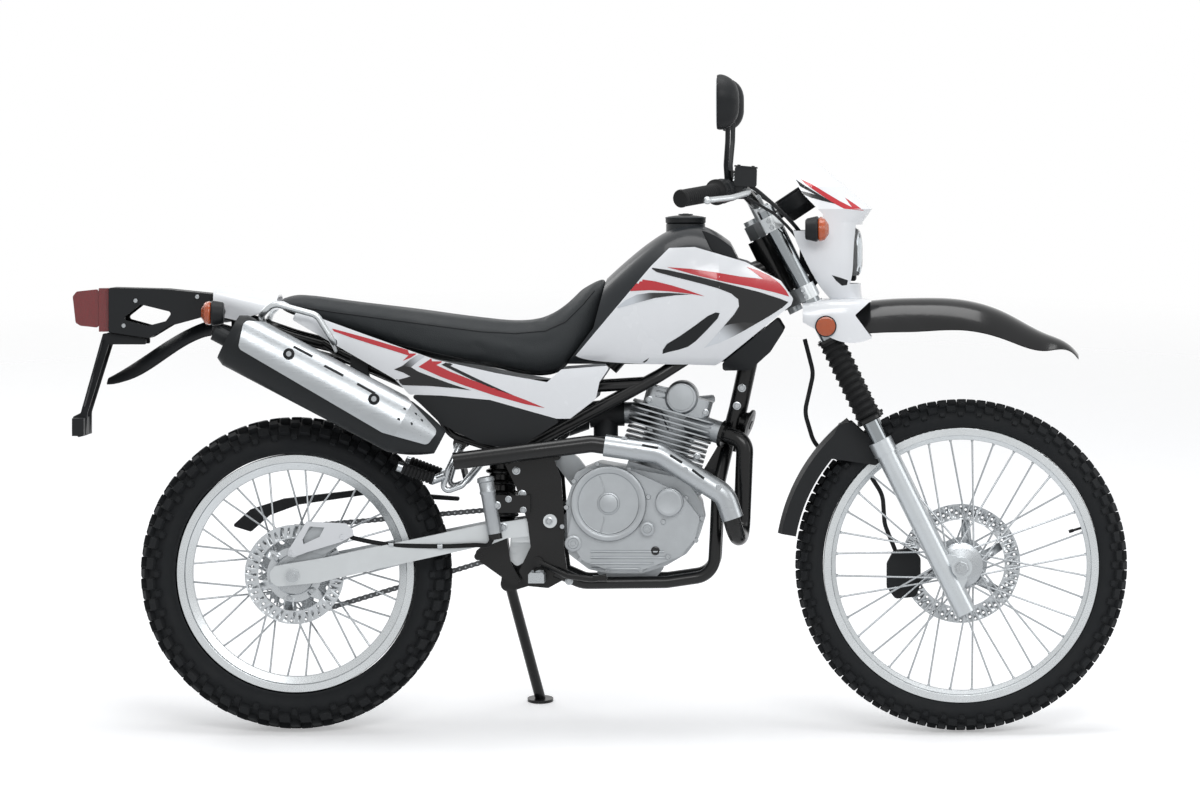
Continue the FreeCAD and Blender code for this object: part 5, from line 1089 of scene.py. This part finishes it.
def reservoir():
    """The cap and window of the brake fluid reservoir."""
    cap = Maker()
    corners = [(901, -281.5, 1152.8), (947, -281.5, 1148.8), (947, -234.5, 1148.8),
               (901, -234.5, 1152.8)]
    cap.rings([corners, [(x, y, z + 3.4) for x, y, z in corners]])
    for place in ((910, -272, 1155.4), (938, -244, 1152.8)):
        cap.screw(place, (0.08, 0, 1), 3.4, 1.8)
    cap.piece("reservoir_cap", BLACK_MOULD, "steering", bevel=1.0)
    window = Maker()
    window.rod((898, -258, 1132), (903, -258, 1131.5), 8)
    window.piece("reservoir_window", CLEAR, "steering")


def hand_controls():
    """Grips, switch pods, lever bolts and the brake fluid reservoir."""
    for side, word in SIDES:
        handgrip(side, word)
        switch_pod(side, word)
        lever_bolts(side, word)
    reservoir()


def mirror_glasses():
    """The mirror glasses and the joints of their arms."""
    for side, word in SIDES:
        glass = Maker()
        ring = [(-22, 0), (-20, 32), (0, 55), (16, 48), (23, 18), (17, -30), (2, -55), (-12, -50)]
        line = smooth_line([Vector((0, y * 1.42, z * 0.9)) for y, z in ring + ring[:1]], 6)[:-1]
        centre = Vector((867, side * 345, 1282))
        glass.rings([[centre + Vector((ahead, side * point.y * share, point.z * share))
                      for point in line] for ahead, share in ((-0.6, 1), (-1.8, 0.94))])
        glass.piece(word + "_mirror_glass", MIRROR, "steering", smooth=30)
        joint = Maker()
        joint.lathe((888, side * 262, 1121), (0, side * -0.2, 1),
                    [(0, 9), (8, 9), (10, 7.5), (14, 6), (24, 5.4)], 6)
        joint.piece(word + "_mirror_joint", FRAME_BLACK, "steering")


def instruments():
    """The round gauge with its display, lamps and keys."""
    up = Vector((-0.55, 0, 0.83)).normalized()
    turn = facing(GAUGE, up, "Z", "Y")
    face = Maker()
    face.lathe(GAUGE + up * 24, up, [(-0.5, 45.6), (2.2, 45.6), (3.4, 44), (3.4, 41.5), (1.4, 40.5),
                                     (1.2, 0.01)], 64)
    face.piece("gauge_bezel", BLACK_MOULD, "steering", smooth=30)
    screen = Maker()
    screen.box((-26, -15, 24.8), (26, 17, 26.2), turn)
    screen.piece("gauge_screen", DISPLAY, "steering", bevel=0.6)
    marks = Maker()
    for number, wide in enumerate((20, 16, 22)):
        marks.box((-wide, -11 + number * 9, 26.1), (wide - 14, -8.6 + number * 9, 26.5), turn)
    marks.piece("gauge_segments", BLACK_PAINT, "steering")
    lamps = Maker()
    for number in range(4):
        spot = turn @ Vector((-24 + number * 16, -27, 24.8))
        lamps.lathe(spot, up, [(0, 3.6), (1.4, 3.6), (2.2, 2.6)], 16)
    lamps.piece("gauge_lamps", GREY_PRINT, "steering")
    keys = Maker()
    for number in (-1, 1):
        keys.lathe(turn @ Vector((number * 14, 29, 24.8)), up,
                   [(0, 5), (3.6, 5), (4.6, 4)], 20)
    keys.piece("gauge_keys", RUBBER, "steering")


def head_lamp():
    """The lamp glass with its reflector and bulb."""
    glass = Maker()
    outline = [(-54, -44), (-60, 8), (-50, 48), (50, 48), (60, 8), (54, -44)]
    line = smooth_line([Vector((0, y, z)) for y, z in outline + outline[:1]], 5)[:-1]
    glass.rings([[HEAD_LAMP + Vector((lift, point.y * share, point.z * share)) for point in line]
                 for lift, share in ((-14, 0.99), (-4, 1), (4, 0.96), (9, 0.82), (12, 0.5),
                                     (13, 0.06))])
    glass.piece("head_lamp_lens", CLEAR, "steering", smooth=60)
    bowl = Maker()
    bowl.rings([[HEAD_LAMP + Vector((lift, point.y * share, point.z * share)) for point in line]
                for lift, share in ((-1, 0.8), (0.6, 0.78), (0.8, 0.3), (1, 0.1))])
    bowl.piece("head_lamp_bowl", REFLECTOR, "steering", smooth=60)
    bulb = Maker()
    bulb.lathe(HEAD_LAMP, (1, 0, 0), [(0, 9), (4, 9), (5, 12), (8, 12), (9, 7)], 24)
    bulb.piece("head_lamp_bulb", CHROME, "steering", smooth=40)


def fork_legs():
    """Caps, boot clips and bolts of both fork legs."""
    for side, word in SIDES:
        caps = Maker()
        top = steer(FORK_AHEAD, side * FORK_SPREAD, FORK_TOP)
        caps.lathe(top, UPWARD, [(-0.5, 17), (3, 17), (4.5, 15.6), (4.5, 9), (9, 8.6), (9.6, 7.8)], 6)
        caps.lathe(top - UPWARD * 3, UPWARD, [(0, 17.9), (4, 17.9)], 40)
        caps.piece(word + "_fork_cap", STEEL, "steering")
        clips = Maker()
        for up in BOOT_ENDS:
            clips.collar(steer(FORK_AHEAD, side * FORK_SPREAD, up), UPWARD, 0, 6, 24, 26.6, 40)
            clips.screw(steer(63, side * FORK_SPREAD, up + 3), FORWARD, 3, 4)
        clips.piece(word + "_boot_clips", FRAME_BLACK, "steering")
        bolts = Maker()
        for up in CLAMP_HEIGHTS:
            for lift in (-7, 7):
                bolts.screw(steer(FORK_AHEAD - 4, side * 119, up + lift), LEFT * side, 4.6, 4)
        bolts.bolt(steer(FORK_AHEAD + 30, side * 98, 6), LEFT * side, 5, 4)
        bolts.screw(steer(FORK_AHEAD, side * FORK_SPREAD, FORK_FOOT), -UPWARD, 6, 3)
        bolts.piece(word + "_fork_bolts", STEEL, "steering")


def axle_nut():
    """The front axle's nut and its head on the other side."""
    nut = Maker()
    nut.lathe(FRONT_AXLE - LEFT * 114.6, -LEFT, [(0, 17), (2, 17), (2.4, 13.5), (11, 13.5),
                                                 (12.4, 12), (12.4, 7), (15, 6.6)], 6)
    nut.lathe(FRONT_AXLE + LEFT * 114.6, LEFT, [(0, 16), (4, 16), (5, 13), (5, 8), (1, 7)], 36)
    nut.piece("front_axle_nut", STEEL, "steering")


def side_reflectors():
    """The round reflectors beside the fender's base."""
    disc = Maker()
    spot = side_hit(tree_of("fender_base"), 826, 326, 112)
    disc.lathe(spot + LEFT * 1.5, -LEFT, [(0, 20), (0, 21.8), (6, 21.8), (7.4, 20.6), (7.4, 19.4),
                                          (6, 19.2)], 48)
    disc.mirror()
    disc.piece("side_reflector_rims", BLACK_MOULD, "steering")
    lens = Maker()
    lens.lathe(spot - LEFT * 4.2, -LEFT, [(0, 19.3), (2.4, 19.3), (3.2, 17), (3.4, 0.01)], 48)
    lens.mirror()
    lens.piece("side_reflectors", ORANGE_LENS, "steering")


# Engine


def clutch_cover():
    """Screws, rings and ribs of the clutch cover, and the caps beside it."""
    tree = tree_of("crankcase")
    fixings("engine_cover_screws", Maker.screw, tree, (
        (597, 464.5), (629, 470), (573.5, 482), (562, 527), (580, 560), (607, 571), (640.5, 571),
        (668, 557), (696, 541), (702, 519), (686, 498.5), (663.5, 522), (648.5, 497), (566, 508)),
        100, 5.2, 4.5)

    cover = Maker()
    cover.lathe(CLUTCH, -LEFT, [(24, 76.4), (26.4, 76.8), (30.6, 75.4), (31.4, 73), (31.4, 66.5),
                                (30.6, 65)], 96, capped=False)
    cover.lathe(CLUTCH, -LEFT, [(26.6, 23.5), (28.4, 22.4), (29.2, 19.6), (31.4, 18.4), (32.4, 15),
                                (32.8, 0.01)], 48)
    for line in (((600, 476.5), (602, 483), (604.4, 490), (603.6, 494)),
                 ((603.6, 517), (604.2, 521), (602, 527), (601, 533.5))):
        cover.tube([side_hit(tree, px, py, 116) + LEFT * 0.4 for px, py in line], 1.5, 8)
    cover.piece("clutch_cover_rings", CAST, smooth=40)

    ribs = Maker()
    for end, py in ((664, 552), (668, 558), (660, 564), (646, 569)):
        ribs.tube(hit_line(tree, (591, py), (end, py), 10, 98, -0.4), 2.4, 8, loose=False)
    ribs.piece("case_ribs", CAST, smooth=50)

    parts = Maker()
    for px, py, radius in ((647.5, 529, 12.5), (573, 544, 15.4)):
        spot = side_hit(tree, px, py, 110)
        parts.lathe(spot + LEFT * 0.6, -LEFT, [(0, radius + 1.5), (2.4, radius + 1.5), (3.6, radius),
                                               (3.6, radius * 0.72), (2, radius * 0.66),
                                               (2, radius * 0.34), (5, radius * 0.3), (5, 0.01)], 40)
    spot = side_hit(tree, 669, 503, 110)
    parts.lathe(spot + LEFT * 1, -LEFT, [(0, 27), (2.2, 26.4), (3, 24), (2.2, 20), (2, 0.01)], 56)
    parts.piece("case_caps", CAST, smooth=40)
    plug = Maker()
    plug.lathe(side_hit(tree, 655.5, 551, 100) + LEFT * 0.5, -LEFT,
               [(0, 9), (2.6, 9), (3.6, 7.4), (3.6, 5), (1.6, 4.4), (1.6, 0.01)], 30)
    plug.piece("oil_window", BLACK_PAINT)


def stator_cover():
    """Screws and rings of the stator cover on the left."""
    left = Maker()
    for number in range(8):
        turn = 2 * math.pi * number / 8
        left.screw(STATOR + spoke_way(turn) * 76 + LEFT * 88.4, LEFT, 4.8, 4)
    left.piece("stator_cover_screws", STEEL)
    ridge = Maker()
    ridge.lathe(STATOR + LEFT * 118, LEFT, [(-1, 41), (1.4, 40), (1.4, 28), (0.6, 26)], 48,
                capped=False)
    ridge.lathe(STATOR + LEFT * 117, LEFT, [(0, 14), (4, 14), (5, 12), (5, 7), (3, 6.4),
                                            (3, 0.01)], 30)
    ridge.piece("stator_cover_rings", CAST, smooth=40)


def frame_bolts():
    """The bolts that hold the engine, the footpegs and the swingarm."""
    fixings("frame_bolts", Maker.bolt, tree_of("frame", "swingarm", "foot_controls"), (
        (741.5, 389), (736.5, 407), (516, 471), (522, 494.5), (549, 521.5), (569, 581.5),
        (457, 447.5), (484, 458), (503, 528), (497, 505.5)), 98, 6.2, 5)


def head_details():
    """The bolts, ribs and cam caps of the top end."""
    tree = tree_of("cylinder_head", "cylinder")
    ribs = Maker()
    for first, last in (((657, 386), (675, 390)), ((656, 391), (674, 395)), ((655, 396), (671, 400)),
                        ((661, 412), (668, 430)), ((666, 414), (672, 432))):
        ribs.tube(hit_line(tree, first, last, 6, 70, 0.6), 1.8, 8, loose=False)
    ribs.piece("head_ribs", CAST, smooth=50)
    fixings("head_bolts", Maker.bolt, tree, (
        (650, 431), (690, 443), (697, 457), (649, 400), (705, 413)), 75, 5.6, 5)
    cap = Maker()
    for side, reach in ((-1, 61.6), (1, 65.6)):
        cap.lathe(CAM_SHAFT + LEFT * side * reach, LEFT * side,
                  [(0, 27), (1.2, 26), (2, 14), (2.4, 0.01)], 56)
    cap.piece("cam_cap_disc", CAST, smooth=40)


# Exhaust


def exhaust_details():
    """Slots, holes and screws of both exhaust guards."""
    guard = tree_of("header_guard")
    dark = Maker()
    for first, last in (((643, 444), (659, 447)), ((671, 454), (683, 461.5)),
                        ((693, 468.5), (705, 477.5))):
        dark.tube(hit_line(guard, first, last, 5, 100, -0.2), 2.6, 8, loose=False)
    shell = tree_of("muffler_guard")
    for first, last in (((292, 347.5), (311, 357.5)), ((323, 366.5), (342, 376.5)),
                        ((356, 384.5), (374, 394.5))):
        line = hit_line(shell, first, last, 6, 205, 2.6)
        if all(spot.y < -157.4 for spot in line):
            dark.tube(line, 3.8, 10, loose=False)
    dark.piece("guard_slots", HEAT_BLACK, smooth=60)
    screws = Maker()
    rings = Maker()
    for px, py in ((625, 438), (719.5, 486)):
        screws.screw(side_hit(guard, px, py, 105), -LEFT, 6, 3.4)
    for x, z in ((0, 775), (172, 684)):
        spot = shell.ray_cast(Vector((x, RIGHT_OF_ALL, z)), LEFT)[0]
        rings.lathe(spot + LEFT, -LEFT, [(0, 11.5), (1.6, 11.5), (2, 9)], 30)
        screws.screw(spot - LEFT * 1.2, -LEFT, 6, 4)
    screws.piece("guard_screws", STEEL)
    rings.piece("guard_screw_rings", HEAT_BLACK)
    holes = Maker()
    for px, py in ((398.5, 419.5), (404, 409.5), (415, 414.5), (411, 424), (421, 421)):
        spot = side_hit(shell, px, py, 195)
        holes.lathe(spot + LEFT * 0.8, -LEFT, [(0, 3.2), (1.1, 3.2)], 16)
    holes.piece("guard_holes", HEAT_BLACK)


# Chassis


def caliper_guard():
    """The plate over the rear caliper, on two studs."""
    guard = Maker()
    edge = [photo_point(px, py, 112) for px, py in (
        (287, 551), (305, 522.6), (345, 524.5), (351.5, 531), (352.5, 536.5), (340, 543), (322, 548.5),
        (307, 553), (292, 558.6), (286, 557))]
    hole = [photo_point(px, py, 112) for px, py in ((302, 545.4), (301, 541), (308, 527.6),
                                                    (323, 528.6), (318, 538))]
    ring_plate(guard, edge, hole, -101, -98.5)
    for px, py in ((290, 554), (341, 538)):
        x, z = photo_point(px, py, 104)
        guard.rod((x, -99, z), (x, -76, z), 5)
        guard.screw((x, -101, z), -LEFT, 5, 3)
    guard.piece("rear_caliper_guard", WHITE, bevel=0.5)


def chain_adjusters():
    """The blocks, screws and washers at both ends of the rear axle."""
    adjust = Maker()
    for side in (-1, 1):
        adjust.box((-6, side * 104 - 5, 306), (28, side * 104 + 5, 336))
        adjust.rod((28, side * 98, 322), (46, side * 98, 324), 4)
        adjust.lathe(REAR_AXLE + LEFT * side * 129.6, LEFT * side,
                     [(0, 13), (1.5, 13), (2, 8.4), (5, 8)], 30)
    adjust.piece("chain_adjusters", STEEL, bevel=1.2)


def rear_master():
    """The rear brake's master cylinder and its hose with two clips."""
    body = Maker()
    body.lathe((393.5, -116, 516), (22, 0, -126), [(-8, 11), (-6, 17), (2, 18), (4, 15.6), (20, 15.2),
                                                   (22, 16.6), (26, 16.6), (28, 15), (110, 14.6),
                                                   (112, 10), (122, 9)], 30)
    for x, z in ((440, 478), (470, 456)):
        body.bolt((x, -120, z), -LEFT, 5, 4)
    body.piece("rear_master_body", CAST, smooth=40)

    rubber = Maker()
    rubber.tube([(410, -122, 404), (404, -124, 392), (396, -122, 384), (372, -112, 384),
                 (300, -104, 381), (200, -100, 384), (128, -94, 396), (112, -84, 404)], 4.6, 12)
    rubber.piece("rear_brake_hose", RUBBER, smooth=60)
    clips = Maker()
    for x, y, z in ((300, -104, 381), (200, -100, 384)):
        clips.collar((x - 5, y, z), (1, 0, 0), 0, 10, 4.4, 6.2, 20)
    clips.piece("rear_hose_clips", STEEL)


def peg_details():
    """Teeth and rubbers of the pegs and the gear pedal."""
    treads = Maker()
    for side in (-1, 1):
        for tooth in range(9):
            y = side * (128 + tooth * 10)
            for x in (488, 508):
                treads.box((x, y - 2, 329), (x + 4, y + 2, 334.4))
        treads.box((486, side * 214 - 1.6, 316), (514, side * 214 + 1.6, 333))
    treads.piece("rider_peg_teeth", STEEL, bevel=0.4)
    pads = Maker()
    for side in (-1, 1):
        root = Vector((292, side * 140, 518))
        along = Vector((-76, side * 10, 28))
        profile = [(reach + ring * 7.6, radius) for ring in range(9)
                   for reach, radius in ((4, 10.2), (5.4, 12.2), (9.4, 12.2), (10.6, 10.2))]
        pads.lathe(root, along, [(3, 9)] + profile + [(74, 9)], 24)
    pads.piece("passenger_peg_rubbers", RUBBER, smooth=40)
    tip = Maker()
    for ring in range(6):
        tip.lathe((676, 120 + ring * 4.6, 322), LEFT, [(0, 8.2), (1, 9.6), (3, 9.6), (4, 8.2)], 20)
    tip.piece("shift_pedal_rubber", RUBBER, smooth=40)


def horn_and_cap():
    """The horn, and the rings and slot of the fuel cap."""
    horn = Maker()
    x, z = photo_point(748, 424, 10)
    centre = Vector((x, -18, z))
    way = Vector((0.86, -0.18, -0.3)).normalized()
    horn.lathe(centre, way, [(-16, 8), (-14, 20), (-4, 24), (0, 31), (3, 32), (5, 31), (6, 24),
                             (7, 22), (7, 10), (9, 9), (9, 0.01)], 40)
    horn.box((-34, -3, -8), (-10, 3, 8), facing(centre, way))
    horn.piece("horn", FRAME_BLACK, smooth=35)
    cap = Maker()
    up = Vector((0, 0, 1))
    cap.lathe(FUEL_CAP, up, [(11.4, 41.6), (13, 41.8), (14, 40.4), (14, 38.6)], 72, capped=False)
    cap.lathe(FUEL_CAP + up * 18.6, up, [(-0.4, 15), (1.2, 15), (2, 13.6), (2, 0.01)], 40)
    cap.piece("fuel_cap_rings", GREY_MOULD, smooth=40)
    lock = Maker()
    lock.box((-6, -1.4, 20.2), (6, 1.4, 21.4), Matrix.Translation(FUEL_CAP))
    lock.piece("fuel_cap_slot", BLACK_PAINT)


def tail_details():
    """The carrier's screws and the rear reflector."""
    fixings("carrier_screws", Maker.screw, tree_of("tail_carrier"), (
        (134, 301), (196, 297), (122, 326)), 60, 4.6, 3)
    red = Maker()
    red.box((-1, -27, -58), (5, 27, -34), facing(Vector((-409, 0, 722)), Vector((-0.963, 0, 0.269))))
    red.piece("rear_reflector", RED_LENS, bevel=1.2)


for build in (wheels, brakes, chain, tank_graphics, side_graphics, cowl_graphics, seat_cushion,
              hand_controls, mirror_glasses, instruments, head_lamp, fork_legs, axle_nut,
              side_reflectors, clutch_cover, stator_cover, frame_bolts, head_details,
              exhaust_details, caliper_guard, chain_adjusters, rear_master, peg_details,
              horn_and_cap, tail_details):
    build()
